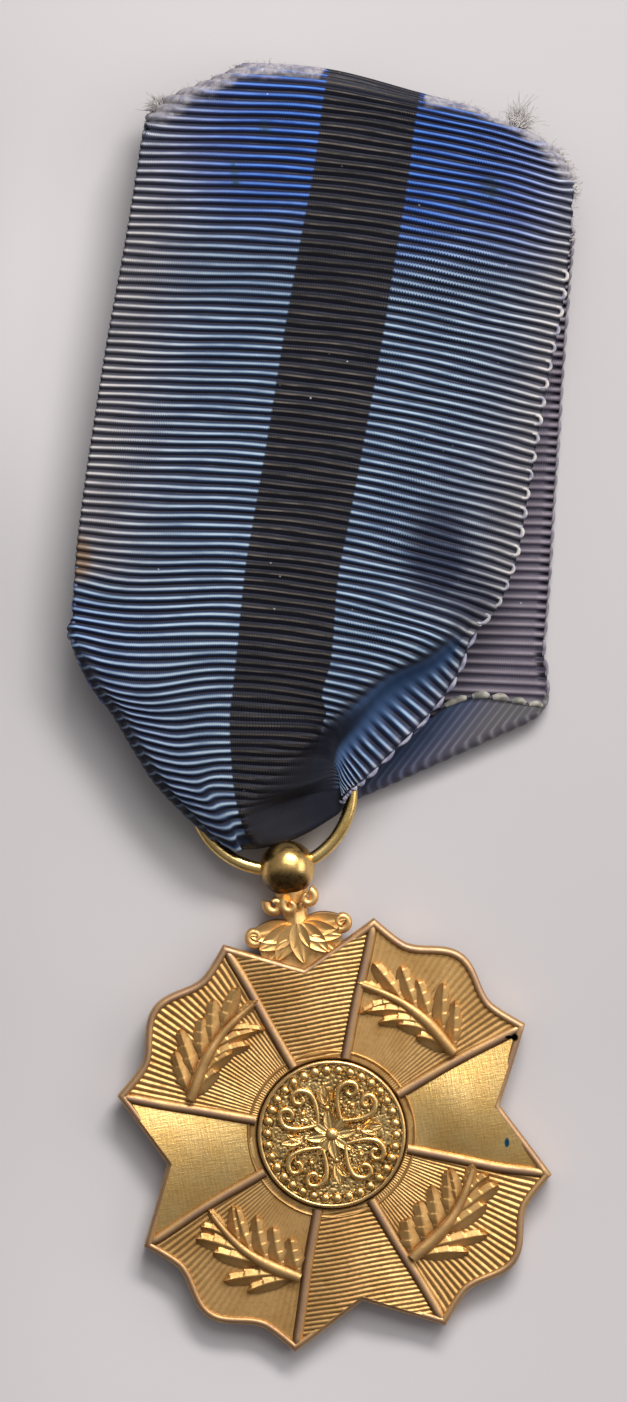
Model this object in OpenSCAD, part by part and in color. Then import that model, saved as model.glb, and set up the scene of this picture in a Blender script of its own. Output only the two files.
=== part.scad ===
// A cross-shaped order medal lying face up with its folded ribbon.
// Millimetres. X runs right, Y runs up the ribbon, Z points away from the surface that it lies on.
// The origin is the middle of the outline, on that surface.

/* [Cross] */
// Distance from the middle of the cross to the tips of its arms
tip_r = 18.7; // [18.2:0.1:19]
// Distance from the middle to the notch in the end of each arm
notch_r = 14.3; // [13.8:0.1:15]
// Thickness of the cross between its raised parts
plate_t = 1.6; // [1.4:0.1:2]
// Half the angle that one arm spans
arm_half_angle = 20.3; // [19:0.1:22]
// Height of the raised rim and the radial ridges
rim_h = 0.35; // [0.25:0.05:0.5]
// Width of the raised rim
rim_w = 0.6; // [0.4:0.05:0.8]
// Width of the radial ridges beside the arms
ridge_w = 0.8; // [0.6:0.05:1]
// Lean of the cross to the left as it lies
lean = 10; // [5:1:15]

/* [Laurel] */
// Leaf pairs on each of the four sprays
leaf_pairs = 5; // [3:1:6]
// Length of one leaf
leaf_l = 3.3; // [2.6:0.1:3.6]
// Width of one leaf
leaf_w = 1; // [0.7:0.1:1.2]
// Angle between a leaf and its stem
leaf_spread = 28; // [20:1:35]

/* [Medallion] */
// Diameter of the medallion
medallion_d = 12.6; // [12:0.1:12.8]
// Number of beads near its edge
bead_n = 34; // [28:1:36]
// Diameter of one bead
bead_d = 0.8; // [0.6:0.05:0.9]
// Number of petals in the middle ornament
petal_n = 8; // [6:1:12]

/* [Suspension] */
// Diameter of the ball
ball_d = 4.7; // [4.4:0.1:5]
// Distance from the middle of the cross to the ball
ball_r = 23; // [22.8:0.1:23.4]
// Diameter of the hole through the ball
bore_d = 1.8; // [1.7:0.05:2]
// Diameter of the ring at the middle of its wire
ring_d = 13.46; // [13.3:0.02:13.6]
// Thickness of the ring's wire
wire_d = 1.1; // [0.9:0.05:1.1]

/* [Ribbon] */
// Thickness of the ribbon
ribbon_t = 1; // [0.8:0.1:1]

/* [Hidden] */
gilt = [0.80, 0.62, 0.30];
aged_gilt = [0.70, 0.52, 0.24];
silk_blue = [0.22, 0.36, 0.55];
round_fn = 48;
small_fn = 24;
fit_gap = 0.05;
sink = 0.2;

// Middle of the cross on the surface, and the middle of the ring
cross_at = [0.93, -36.28];
ring_lean = 11;

// Cross: the quadrant between two arms swells in the middle and dips on both sides
swell_r = 18.8;
dip_r = 17.4;
dip_angle = 14.5;
quadrant_half = 45 - arm_half_angle;
outline_steps = 20;
band_r = 6.9;
band_h = 0.25;
seat_depth = 0.4;
boss_r = 6.3;
boss_h = 0.5;
half_t = plate_t / 2;

// The cross leans back on the ball and on the lower edge of the plain boss behind it
boss_back = half_t + boss_h;
reach = sqrt(pow(ball_r + boss_r, 2) + pow(boss_back, 2));
lie_tilt = asin(ball_d / 2 / reach) - atan(boss_back / (ball_r + boss_r));
lift = ball_d / 2 - ball_r * sin(lie_tilt);

// Laurel sprays: [x, y of the base, x, y of the tip] in the cross's own frame, mirrored left to right
SPRAY_LOWER = [-5.3, -11.6, -11.9, -5.6];
SPRAY_UPPER = [-11.4, 5, -4.5, 11.8];
leaf_h = 0.32;
stem_w = 0.45;
stem_h = 0.42;

// Medallion: rings of its face, and the seat that it stands in
medallion_r = medallion_d / 2;
disc_h = 0.95;
ground_drop = 0.25;
edge_w = 0.35;
bead_ring_r = 5.45;
petal_l = 2.7;
petal_w = 0.9;
petal_in = 0.7;
petal_h = 0.3;
centre_d = 1.3;
curl_n = 8;
curl_ring_r = 3.75;
curl_r = 0.48;
curl_w = 0.13;

// Bracket below the ball: [x, y, length, width, heading] for each leaf
BRACKET_LEAVES = [
    [0, 18.7, 4.8, 1.9, -90],
    [-0.5, 18.3, 4, 1.7, -120],
    [0.5, 18.3, 4, 1.7, -60],
    [-0.6, 17.6, 3.4, 1.4, -160],
    [0.6, 17.6, 3.4, 1.4, -20],
    [-0.7, 18.9, 2, 0.9, 138],
    [0.7, 18.9, 2, 0.9, 42]
];
// Web behind the leaves, from the notch of the upper arm to the volutes
WEB = [[0, 13.6], [3.4, 15.7], [3.5, 17], [1.2, 18.2], [-1.2, 18.2], [-3.5, 17], [-3.4, 15.7]];
web_t = 1;
neck_d = 2.5;
neck_y = 15.6;
collar_y = 19.7;
collar_d = 2.6;
volute_x = 3.35;
volute_y = 17.2;
volute_r = 0.75;
volute_w = 0.42;
bracket_t = 1.5;
leaf_lift = 0.2;

// Ring: from the ball's height it dips to lie on the back strand
ring_r = ring_d / 2;
ring_dip = asin(0.55 / ring_d);

// Ribbon sections from the top roll down the front strand, under the ring and up the back strand.
// [left x, left y, right x, right y, level of the middle layer]
SECTIONS = [
    [-7.2, 53.7, 8.4, 51.3, 2.8],
    [-9.8, 52.5, 12.0, 49.6, 4.6],
    [-12.6, 50.8, 15.6, 47.9, 5.1],
    [-14.6, 48.6, 19.4, 45.3, 5.4],
    [-15.5, 45.9, 21.1, 41.8, 5.5],
    [-16.5, 40.4, 20.7, 36.6, 5.6],
    [-17.9, 32.8, 19.3, 28.6, 5.6],
    [-19.2, 25.2, 17.9, 20.8, 5.6],
    [-20.1, 18.4, 16.6, 13.9, 5.6],
    [-20.7, 13.4, 14.9, 8.6, 5.5],
    [-20.9, 11.2, 12.9, 6.3, 5.4],
    [-21.1, 8.2, 11.3, 2.6, 5.4],
    [-21.2, 5.2, 9.0, -0.6, 5.4],
    [-19.3, 2.0, 6.1, -3.6, 5.4],
    [-17.5, -0.4, 3.9, -5.7, 5.4],
    [-15.3, -3.6, 2.9, -6.5, 5.4],
    [-13.4, -6.2, 2.3, -7.1, 5.4],
    [-11.0, -8.7, 1.8, -7.7, 5.2],
    [-9.3, -10.4, 1.2, -8.3, 4.4],
    [-8.0, -11.3, 0.6, -8.9, 2.8],
    [-8.0, -10.7, 0.8, -8.3, 1.1],
    [-8.6, -9.2, 1.8, -7.4, 0.5],
    [-11.2, -6.4, 5.0, -6.5, 0.5],
    [-14.4, -3.6, 9.6, -4.3, 0.5],
    [-17.2, -0.9, 14.0, -2.1, 0.5],
    [-18.7, 2.2, 17.8, -0.2, 0.5],
    [-18.4, 6.6, 18.8, 5.2, 0.5],
    [-17.8, 17.0, 19.6, 16.8, 0.5],
    [-16.9, 31.2, 20.5, 30.6, 0.5],
    [-16.0, 41.0, 21.1, 39.6, 0.5],
    [-14.9, 46.6, 20.0, 44.4, 0.5],
    [-12.9, 50.0, 16.2, 47.4, 0.5],
    [-9.8, 52.4, 12.0, 49.5, 1.0]
];
SECTION_N = len(SECTIONS);
rows_between = 2;

// Left edge tucked under: [section, turn in degrees] and [section, length beyond the bend]
LEFT_TURN = [[0, 0], [11.5, 0], [12, 50], [12.5, 110], [13, 160], [13.5, 180], [16, 180], [16.5, 150],
    [17, 100], [17.5, 50], [18, 20], [18.5, 0], [33, 0]];
LEFT_TAIL = [[0, 0.5], [12, 0.4], [13, 1], [14, 3], [15, 4], [16, 1.6], [16.5, 0.5], [17, 0.3], [18, 0.3],
    [19, 0.5], [33, 0.5]];
LEFT_BEND = [[0, 0.3], [10, 0.3], [12, 0.8], [17, 0.8], [19, 0.3], [33, 0.3]];
LEFT_SKEW = [[0, 0], [11.5, 0], [13, 35], [17, 40], [19, 0], [33, 0]];
tuck_heading = 90;

// Lower right corner of the back strand folded forward
RIGHT_TURN = [[0, 0], [21.5, 0], [22, 30], [22.5, 100], [23, 165], [23.5, 180], [24, 180], [24.5, 150],
    [25, 90], [25.5, 30], [26, 0], [33, 0]];
RIGHT_TAIL = [[0, 0.3], [22, 0.3], [22.5, 1], [23, 4], [23.5, 5], [24, 4], [24.5, 1.6], [25, 0.4],
    [26, 0.3], [33, 0.3]];
RIGHT_BEND = [[0, 0.15], [20, 0.15], [22, 0.7], [25, 0.7], [27, 0.15], [33, 0.15]];
RIGHT_SKEW = [[0, 0], [21, 0], [22, -45], [22.5, -60], [25, -60], [26.5, 0], [33, 0]];
corner_heading = 52;

// Pleat from the right edge down to the ring: where its crest and valley stand along each section
CREST_AT = [[0, 0.8], [8, 0.85], [10, 0.93], [11, 0.92], [12, 0.886], [13, 0.874], [14, 0.869],
    [15, 0.74], [16, 0.53], [17, 0.42], [19, 0.4], [21, 0.5], [22, 0.6], [33, 0.8]];
VALLEY_AT = [[0, 0.87], [8, 0.91], [10, 0.975], [11, 0.97], [12, 0.93], [13, 0.93], [14, 0.94],
    [15, 0.93], [16, 0.92], [17, 0.88], [19, 0.7], [21, 0.7], [22, 0.68], [33, 0.87]];
CREST_RAISE = [[0, 0], [9, 0], [10, 0.4], [11, 1.5], [12, 2.6], [13, 3.1], [14, 3.5], [15, 1.7], [16, 0],
    [18, 0], [19, -0.5], [20, -0.2], [21, 0], [33, 0]];
VALLEY_DROP = [[0, 0], [9, 0], [10, 0.3], [11, 0.8], [12, 1.4], [14, 1.7], [16, 1.7], [17, 1.6], [18, 1.1],
    [19, 0.3], [20, 0], [33, 0]];
FLAP_DROP = [[0, 0], [9, 0.1], [11, 0.5], [14, 1], [16, 1.4], [17, 1.4], [18, 1], [19, 0.2], [20, 0], [33, 0]];
valley_share = 0.6;
crown = 0.3;
crown_from = 4.2;

arc_steps = 5;
tail_steps = 2;
main_steps = 9;
step_steps = 3;
flap_steps = 4;

// Outline of the cross

// Radius of the quadrant's edge at an angle from its middle line
function quadrant_r(q) =
    abs(q) < dip_angle
        ? (swell_r + dip_r) / 2 + (swell_r - dip_r) / 2 * cos(180 * q / dip_angle)
        : dip_r + (tip_r - dip_r) * pow((abs(q) - dip_angle) / (quadrant_half - dip_angle), 1.5);

function polar(r, a) = [r * cos(a), r * sin(a)];

function cross_outline() = [
    for (arm = [0 : 90 : 270])
        each concat(
            [polar(notch_r, arm)],
            [for (i = [-1 : 2 / outline_steps : 1.001])
                let (q = i * quadrant_half) polar(quadrant_r(q), arm + 45 + q)]
        )
];

// Outward unit normal of the side from a to b of a counterclockwise outline
function side_normal(a, b) = let (d = b - a) [d.y, -d.x] / norm(d);

// The same outline moved inwards by a distance
function inset(points, by) = [
    for (i = [0 : len(points) - 1])
        let (
            before = points[(i + len(points) - 1) % len(points)],
            after = points[(i + 1) % len(points)],
            n1 = side_normal(before, points[i]),
            n2 = side_normal(points[i], after)
        )
        points[i] - (n1 + n2) * by / (1 + n1 * n2)
];

// A pointed leaf along +X from the origin
function leaf_outline(l, w) = [
    [0, 0], [l * 0.2, -w * 0.36], [l * 0.45, -w * 0.5], [l * 0.75, -w * 0.3],
    [l, 0], [l * 0.75, w * 0.3], [l * 0.45, w * 0.5], [l * 0.2, w * 0.36]
];

module leaf(l, w, h) {
    linear_extrude(h) polygon(leaf_outline(l, w));
}

// One spray: a stem with leaves in pairs and one at its tip
module spray(s) {
    run = [s[2] - s[0], s[3] - s[1]];
    tip_l = leaf_l * 0.8;
    stem_l = norm(run) - tip_l + 0.6;
    pitch = (stem_l - 1) / leaf_pairs;
    translate([s[0], s[1], half_t - sink])
    rotate([0, 0, atan2(run.y, run.x)]) {
        translate([0, -stem_w / 2, 0])
            cube([stem_l, stem_w, sink + stem_h]);
        for (i = [0 : leaf_pairs - 1], side = [-1, 1])
            translate([0.4 + (i + (side > 0 ? 0.35 : 0)) * pitch, side * 0.1, 0])
                rotate([0, 0, side * leaf_spread])
                leaf(leaf_l, leaf_w, sink + leaf_h + 0.03 * side);
        translate([stem_l - 0.6, 0, 0])
            leaf(tip_l, leaf_w, sink + leaf_h + 0.08);
    }
}

module plate() {
    outline = cross_outline();
    translate([0, 0, -half_t])
        linear_extrude(plate_t) polygon(outline);
    translate([0, 0, half_t - sink])
        linear_extrude(sink + rim_h)
        difference() {
            polygon(outline);
            polygon(inset(outline, rim_w));
        }
}

// Rounded ridges that part the arms from the quadrants
module ridges() {
    for (arm = [0 : 90 : 270], side = [-1, 1])
        rotate([0, 0, arm + side * arm_half_angle])
        translate([band_r - 0.5, 0, half_t + rim_h - ridge_w / 2])
        rotate([0, 90, 0])
        cylinder(h = tip_r - band_r - 0.3, d = ridge_w, $fn = small_fn);
}

// Leaves, neck, collar and volutes between the cross and the ball
module bracket() {
    for (i = [0 : len(BRACKET_LEAVES) - 1])
        let (b = BRACKET_LEAVES[i])
        translate([b[0], b[1], -bracket_t / 2])
        rotate([0, 0, b[4]])
        leaf(b[2], b[3], bracket_t + leaf_lift * (i % 3));
    translate([0, 0, -web_t / 2])
        linear_extrude(web_t) polygon(WEB);
    translate([0, neck_y, 0])
        rotate([-90, 0, 0])
        cylinder(h = ball_r - neck_y, d = neck_d, $fn = small_fn);
    for (a = [0 : 60 : 300])
        translate([collar_d / 2 * cos(a), collar_y, collar_d / 2 * sin(a)])
        sphere(d = 1.1, $fn = small_fn);
    for (side = [-1, 1])
        translate([side * volute_x, volute_y, 0])
        rotate_extrude($fn = small_fn)
        translate([volute_r, 0])
        circle(d = volute_w * 2, $fn = small_fn);
}

module ball() {
    translate([0, ball_r, 0])
        sphere(d = ball_d, $fn = round_fn);
}

// Side-to-side hole, set a little toward the ring's middle to clear its curve
module ball_bore() {
    translate([-ball_d, ball_r + 0.2, 0])
        rotate([0, 90, 0])
        cylinder(h = 2 * ball_d, d = bore_d, $fn = round_fn);
}

// From the cross's own frame to where it lies
module as_it_lies() {
    translate([cross_at.x, cross_at.y, lift])
        rotate([0, 0, lean])
        rotate([lie_tilt, 0, 0])
        children();
}

module badge() {
    color(gilt)
    as_it_lies()
    difference() {
        union() {
            plate();
            ridges();
            translate([0, 0, half_t - sink])
                cylinder(h = sink + band_h, r = band_r, $fn = round_fn);
            translate([0, 0, -boss_back])
                cylinder(h = boss_h + sink, r = boss_r, $fn = round_fn);
            for (side = [0, 1])
                mirror([side, 0, 0]) {
                    spray(SPRAY_LOWER);
                    spray(SPRAY_UPPER);
                }
            bracket();
            ball();
        }
        ball_bore();
        translate([0, 0, half_t - seat_depth])
            cylinder(h = plate_t, r = medallion_r + fit_gap, $fn = round_fn);
    }
}

// Generic rosette with a ring of small open curls
module rosette() {
    for (i = [0 : petal_n - 1])
        rotate([0, 0, i * 360 / petal_n])
        translate([petal_in - 0.3, 0, 0])
        leaf(petal_l, petal_w, petal_h);
    for (i = [0 : curl_n - 1])
        rotate([0, 0, (i + 0.5) * 360 / curl_n])
        translate([curl_ring_r, 0, petal_h / 2])
        rotate_extrude($fn = small_fn)
        translate([curl_r, 0])
        circle(r = curl_w * 1.4, $fn = 16);
    sphere(d = centre_d, $fn = small_fn);
}

module medallion() {
    floor_z = half_t - seat_depth + fit_gap;
    ground_z = disc_h - ground_drop;
    color(aged_gilt)
    as_it_lies()
    translate([0, 0, floor_z]) {
        difference() {
            cylinder(h = disc_h, r = medallion_r, $fn = round_fn);
            translate([0, 0, ground_z])
                cylinder(h = disc_h, r = medallion_r - edge_w, $fn = round_fn);
        }
        translate([0, 0, ground_z])
            for (i = [0 : bead_n - 1])
                rotate([0, 0, i * 360 / bead_n])
                translate([bead_ring_r, 0, 0])
                sphere(d = bead_d, $fn = 16);
        translate([0, 0, ground_z - 0.02])
            rosette();
    }
}

module ring() {
    color(gilt)
    translate([cross_at.x, cross_at.y, lift])
        rotate([0, 0, lean])
        translate([0, ball_r * cos(lie_tilt), ball_r * sin(lie_tilt)])
        rotate([0, 0, ring_lean - lean])
        rotate([-ring_dip, 0, 0])
        translate([0, ring_r, 0])
        rotate_extrude($fn = round_fn)
        translate([ring_r, 0])
        circle(d = wire_d, $fn = small_fn);
}

// Ribbon

// Catmull-Rom value between the second and third of four numbers or vectors
function smooth(a, b, c, d, f) =
    0.5 * (2 * b + (c - a) * f + (2 * a - 5 * b + 4 * c - d) * f * f + (3 * b - 3 * c + d - a) * f * f * f);

// The section at a place t along the strip, which is a closed loop
function section(t) =
    let (i = floor(t), n = SECTION_N)
    smooth(SECTIONS[(i + n - 1) % n], SECTIONS[i % n], SECTIONS[(i + 1) % n], SECTIONS[(i + 2) % n], t - i);

function unit(v) = v / norm(v);

// A plane vector swung by an angle, counterclockwise
function swung(v, a) = [v.x * cos(a) - v.y * sin(a), v.x * sin(a) + v.y * cos(a)];

// Distance outwards and height change along a bend, at a share s of its length.
// The bend is as long as a half turn of radius r, whatever its turn.
function bend_out(r, turn, s) = turn < 1 ? PI * r * s : r * 180 / turn * sin(turn * s);
function bend_up(r, turn, s) = turn < 1 ? 0 : r * 180 / turn * (1 - cos(turn * s));

// How far in from the outermost point a turned edge leaves the flat
function turn_inset(r, turn, tail) =
    turn < 90 ? bend_out(r, turn, 1) + tail * cos(turn) : r * 180 / turn;

// Points of a turned edge from its free end to where the flat begins
function turned_edge(edge, outward, level, r, turn, tail, heading, side) =
    let (
        start = edge - outward * turn_inset(r, turn, tail),
        end = start + outward * bend_out(r, turn, 1),
        end_z = level + side * bend_up(r, turn, 1),
        lay = [cos(heading), sin(heading)],
        run = turn <= 90 ? outward * cos(turn) : lay * -cos(turn)
    )
    concat(
        [for (i = [tail_steps : -1 : 1])
            let (d = tail * i / tail_steps, p = end + run * d)
            [p.x, p.y, end_z + side * sin(turn) * d]],
        [for (i = [arc_steps : -1 : 1])
            let (p = start + outward * bend_out(r, turn, i / arc_steps))
            [p.x, p.y, level + side * bend_up(r, turn, i / arc_steps)]]
    );

function reversed(list) = [for (i = [len(list) - 1 : -1 : 0]) list[i]];

// Points across the strip at t: tucked left edge, main panel, step into the pleat, flap, right edge
function strip_row(t) =
    let (
        s = section(t),
        left = [s[0], s[1]],
        right = [s[2], s[3]],
        level = max(ribbon_t / 2, s[4]),
        along = unit(right - left),
        up = [-along.y, along.x],
        l_turn = lookup(t, LEFT_TURN),
        l_tail = lookup(t, LEFT_TAIL),
        r_turn = lookup(t, RIGHT_TURN),
        r_tail = lookup(t, RIGHT_TAIL),
        l_bend = lookup(t, LEFT_BEND),
        r_bend = lookup(t, RIGHT_BEND),
        l_out = swung(-along, lookup(t, LEFT_SKEW)),
        r_out = swung(along, lookup(t, RIGHT_SKEW)),
        l_start = left - l_out * turn_inset(l_bend, l_turn, l_tail),
        r_start = right - r_out * turn_inset(r_bend, r_turn, r_tail),
        raise = lookup(t, CREST_RAISE),
        crest = l_start + (r_start - l_start) * lookup(t, CREST_AT) + up * raise,
        valley = l_start + (r_start - l_start) * lookup(t, VALLEY_AT) + up * raise * valley_share,
        valley_z = level - lookup(t, VALLEY_DROP),
        edge_z = level - lookup(t, FLAP_DROP),
        hump = crown * min(1, max(0, level - crown_from))
    )
    concat(
        turned_edge(left, l_out, level, l_bend, l_turn, l_tail, tuck_heading, -1),
        [for (i = [0 : main_steps - 1])
            let (f = i / main_steps, p = l_start + (crest - l_start) * f)
            [p.x, p.y, level + hump * sin(180 * f)]],
        [for (i = [0 : step_steps - 1])
            let (f = i / step_steps, p = crest + (valley - crest) * f)
            [p.x, p.y, level + (valley_z - level) * (1 - cos(180 * f)) / 2]],
        [for (i = [0 : flap_steps])
            let (f = i / flap_steps, p = valley + (r_start - valley) * f)
            [p.x, p.y, valley_z + (edge_z - valley_z) * (1 - cos(180 * f)) / 2]],
        reversed(turned_edge(right, r_out, edge_z, r_bend, r_turn, r_tail, corner_heading, 1))
    );

// Wall of even thickness around a closed loop of rows
module strip_wall(rows, t) {
    n = len(rows);
    m = len(rows[0]);
    normals = [for (i = [0 : n - 1]) [for (j = [0 : m - 1])
        let (
            down = rows[(i + 1) % n][j] - rows[(i + n - 1) % n][j],
            across = rows[i][min(j + 1, m - 1)] - rows[i][max(j - 1, 0)]
        )
        unit(cross(down, across))]];
    points = [for (side = [1, -1], i = [0 : n - 1], j = [0 : m - 1]) rows[i][j] + normals[i][j] * side * t / 2];
    function at(side, i, j) = side * n * m + (i % n) * m + j;
    faces = [for (i = [0 : n - 1]) each concat(
        [for (j = [0 : m - 2]) each [
            [at(0, i, j), at(0, i, j + 1), at(0, i + 1, j + 1)],
            [at(0, i, j), at(0, i + 1, j + 1), at(0, i + 1, j)],
            [at(1, i, j), at(1, i + 1, j + 1), at(1, i, j + 1)],
            [at(1, i, j), at(1, i + 1, j), at(1, i + 1, j + 1)]]],
        [for (j = [0, m - 1]) each j == 0
            ? [[at(0, i, j), at(0, i + 1, j), at(1, i + 1, j)], [at(0, i, j), at(1, i + 1, j), at(1, i, j)]]
            : [[at(0, i, j), at(1, i + 1, j), at(0, i + 1, j)], [at(0, i, j), at(1, i, j), at(1, i + 1, j)]]])];
    polyhedron(points = points, faces = faces, convexity = 8);
}

module ribbon() {
    rows = [for (i = [0 : SECTION_N * rows_between - 1]) strip_row(i / rows_between)];
    color(silk_blue)
        strip_wall(rows, ribbon_t);
}

badge();
medallion();
ring();
ribbon();
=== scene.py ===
"""Looks of the order medal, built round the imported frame. Lengths are in millimetres until a mesh is made."""
import math

import bmesh
import bpy
import numpy as np
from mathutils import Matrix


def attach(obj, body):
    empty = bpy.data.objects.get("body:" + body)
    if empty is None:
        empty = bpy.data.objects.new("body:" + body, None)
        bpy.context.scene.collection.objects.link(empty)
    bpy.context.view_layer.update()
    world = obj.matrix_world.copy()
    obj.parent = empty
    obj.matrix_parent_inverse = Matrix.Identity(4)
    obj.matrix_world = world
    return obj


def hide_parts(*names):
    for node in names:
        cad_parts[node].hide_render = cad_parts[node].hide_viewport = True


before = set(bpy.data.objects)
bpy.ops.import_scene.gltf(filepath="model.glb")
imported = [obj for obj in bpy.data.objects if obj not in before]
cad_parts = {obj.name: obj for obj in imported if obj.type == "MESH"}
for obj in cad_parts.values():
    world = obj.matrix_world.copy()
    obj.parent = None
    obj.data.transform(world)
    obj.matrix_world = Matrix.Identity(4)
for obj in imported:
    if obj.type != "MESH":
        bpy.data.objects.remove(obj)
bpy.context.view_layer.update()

MM = 0.001
rng = np.random.default_rng(7)

# The cross as it lies: centre, lift, lean and tilt
CROSS_AT = (0.93, -36.28)
LIFT = 1.525
LEAN = 10
TILT = 2.0556
# The relief stands this far off the middle of the cross's outline
OFF_CENTRE = (-0.24, 0.14, 0)

# Cross, seen from its own centre with the ball along +Y
TIP_R = 18.7
NOTCH_R = 14.3
SWELL_R = 18.8
DIP_R = 17.4
DIP_ANGLE = 14.5
QUADRANT_HALF = 24.7
ARM_HALF = 20.3
HALF_T = 0.8
RIM_H = 0.35
RIDGE_W = 1.0
# Degrees by which each ridge leaves its even place, at the two sides of the four arms
RIDGE_TURNS = ((-1.0, 0.4), (0.0, -0.4), (0.3, -0.5), (0.0, 0.3))
RAYS = 27
LINE_PITCH = 0.385
BAND_R = 6.9
# The rays and lines begin here, under the ring band
FIELD_R = 6.5
BOSS_R = 6.3
BOSS_H = 0.5
BALL_Y = 23
BALL_D = 4.7
ARM_DOME = 0.8
# Where the light comes from, in degrees: rays that run along it hardly show
LIGHT_BEARING = 64

# Medallion
BEAD_N = 34
BEAD_D = 0.9
BEAD_RING_R = 5.45
GROUND_Z = 1.12
PETAL_N = 8
# One scroll of the medallion's lyres, from its foot to the end of its curl: (x, y)
LYRE = (
    (1.5, 0.12), (2.0, 0.72), (2.75, 1.4), (3.6, 1.75), (4.35, 1.45), (4.6, 0.85), (4.2, 0.42),
    (3.7, 0.55), (3.6, 0.95), (3.9, 1.12)
)

# Ribbon: one strip of two strands. Their first and last ribs: the front one begins on the roll at the top,
# and the back one ends on it
STRIP_W = 37.3
FRONT_FROM = -2.7
FRONT_TO = 90.3
BACK_FROM = -0.4
BACK_TO = 88.6
THREAD_PITCH = 0.2
# The black stripe's edges, as shares of the width
STRIPE = (0.4, 0.605)
CLOTH_T = 0.5
RIB_H = 0.28
# Ribs at which the front strand's foot begins to turn under and at which it folds back, and the lowest
# height of what is turned under
FOOT_FROM = 82.5
FRONT_RIBS = 86.4
FOOT_Z = 0.85
# Roll at the top: its middle height, its depth seen from above, counted in ribs, the back strand's rib at
# which it begins, and the radius of its corners
ROLL_Z = 2.9
ROLL_IN = 2.5
BACK_ROLL = 83.5
CORNER_R = 2.2


def curve_through(x, knots, values):
    """Smooth values at x through values at knots: cubic pieces with averaged slopes."""
    x, k, v = np.asarray(x, float), np.asarray(knots, float), np.asarray(values, float)
    extra = (None,) * (v.ndim - 1)
    h = np.diff(k)
    slope = np.diff(v, axis=0) / h[(slice(None), *extra)]
    share = (h[:-1] / (h[:-1] + h[1:]))[(slice(None), *extra)]
    m = np.concatenate([slope[:1], slope[:-1] * (1 - share) + slope[1:] * share, slope[-1:]])
    i = np.clip(np.searchsorted(k, x, side="right") - 1, 0, len(k) - 2)
    t, step = ((x - k[i]) / h[i])[(..., *extra)], h[i][(..., *extra)]
    return (
        (2 * t**3 - 3 * t**2 + 1) * v[i] + (t**3 - 2 * t**2 + t) * step * m[i]
        + (3 * t**2 - 2 * t**3) * v[i + 1] + (t**3 - t**2) * step * m[i + 1]
    )


def lookup(x, pairs):
    """Straight-line value at x in a short table of (x, value)."""
    return np.interp(x, [p[0] for p in pairs], [p[1] for p in pairs])


def smoothstep(x, low, high):
    """Smooth step from 0 at low to 1 at high."""
    t = np.clip((np.asarray(x, float) - low) / (high - low), 0, 1)
    return t * t * (3 - 2 * t)


def polar(r, a, *z):
    """Points at a radius and an angle in radians, flat or with a height."""
    return np.stack(np.broadcast_arrays(r * np.cos(a), r * np.sin(a), *z), -1)


def at_height(points, z):
    """Flat points raised to a height."""
    return np.column_stack([points, np.full(len(points), z)])


def turned(points, degrees, axes=(0, 1)):
    """Points turned about Z, or from one axis towards another."""
    c, s = math.cos(math.radians(degrees)), math.sin(math.radians(degrees))
    points = np.array(points, float)
    a, b = points[..., axes[0]].copy(), points[..., axes[1]].copy()
    points[..., axes[0]], points[..., axes[1]] = a * c - b * s, a * s + b * c
    return points


def laid(points):
    """From the cross's own frame to where it lies."""
    inside = 1 - smoothstep(np.linalg.norm(points[..., :2], axis=-1), 10, 17.5)
    points = turned(turned(points, TILT, (1, 2)), LEAN)
    return points + [*CROSS_AT, LIFT] + inside[..., None] * OFF_CENTRE


def grid_faces(rows, cols, wrap_rows=False, wrap_cols=False):
    """Faces of a grid of points, which may close on itself either way."""
    i, j = np.meshgrid(np.arange(rows - (not wrap_rows)), np.arange(cols - (not wrap_cols)), indexing="ij")
    i2, j2 = (i + 1) % rows, (j + 1) % cols
    return np.stack([i * cols + j, i * cols + j2, i2 * cols + j2, i2 * cols + j], -1).reshape(-1, 4)


def make_piece(name, points, faces, material, slot, sharp=None, weld=0.0, **marks):
    """One object from points in millimetres, riding on the root body."""
    mesh = bpy.data.meshes.new(name)
    mesh.from_pydata((np.asarray(points) * MM).tolist(), [], faces)
    for key, values in marks.items():
        mesh.attributes.new(key, "FLOAT", "POINT").data.foreach_set("value", np.asarray(values, np.float32))
    if weld:
        work = bmesh.new()
        work.from_mesh(mesh)
        bmesh.ops.remove_doubles(work, verts=work.verts, dist=weld * MM)
        bmesh.ops.dissolve_degenerate(work, edges=work.edges, dist=weld * MM)
        bmesh.ops.recalc_face_normals(work, faces=work.faces)
        work.to_mesh(mesh)
        work.free()
    mesh.polygons.foreach_set("use_smooth", [True] * len(mesh.polygons))
    if sharp:
        mesh.set_sharp_from_angle(angle=math.radians(sharp))
    mesh.update()
    mesh.materials.append(material)
    piece = bpy.data.objects.new(name, mesh)
    bpy.context.scene.collection.objects.link(piece)
    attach(piece, "root")
    return piece


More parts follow.
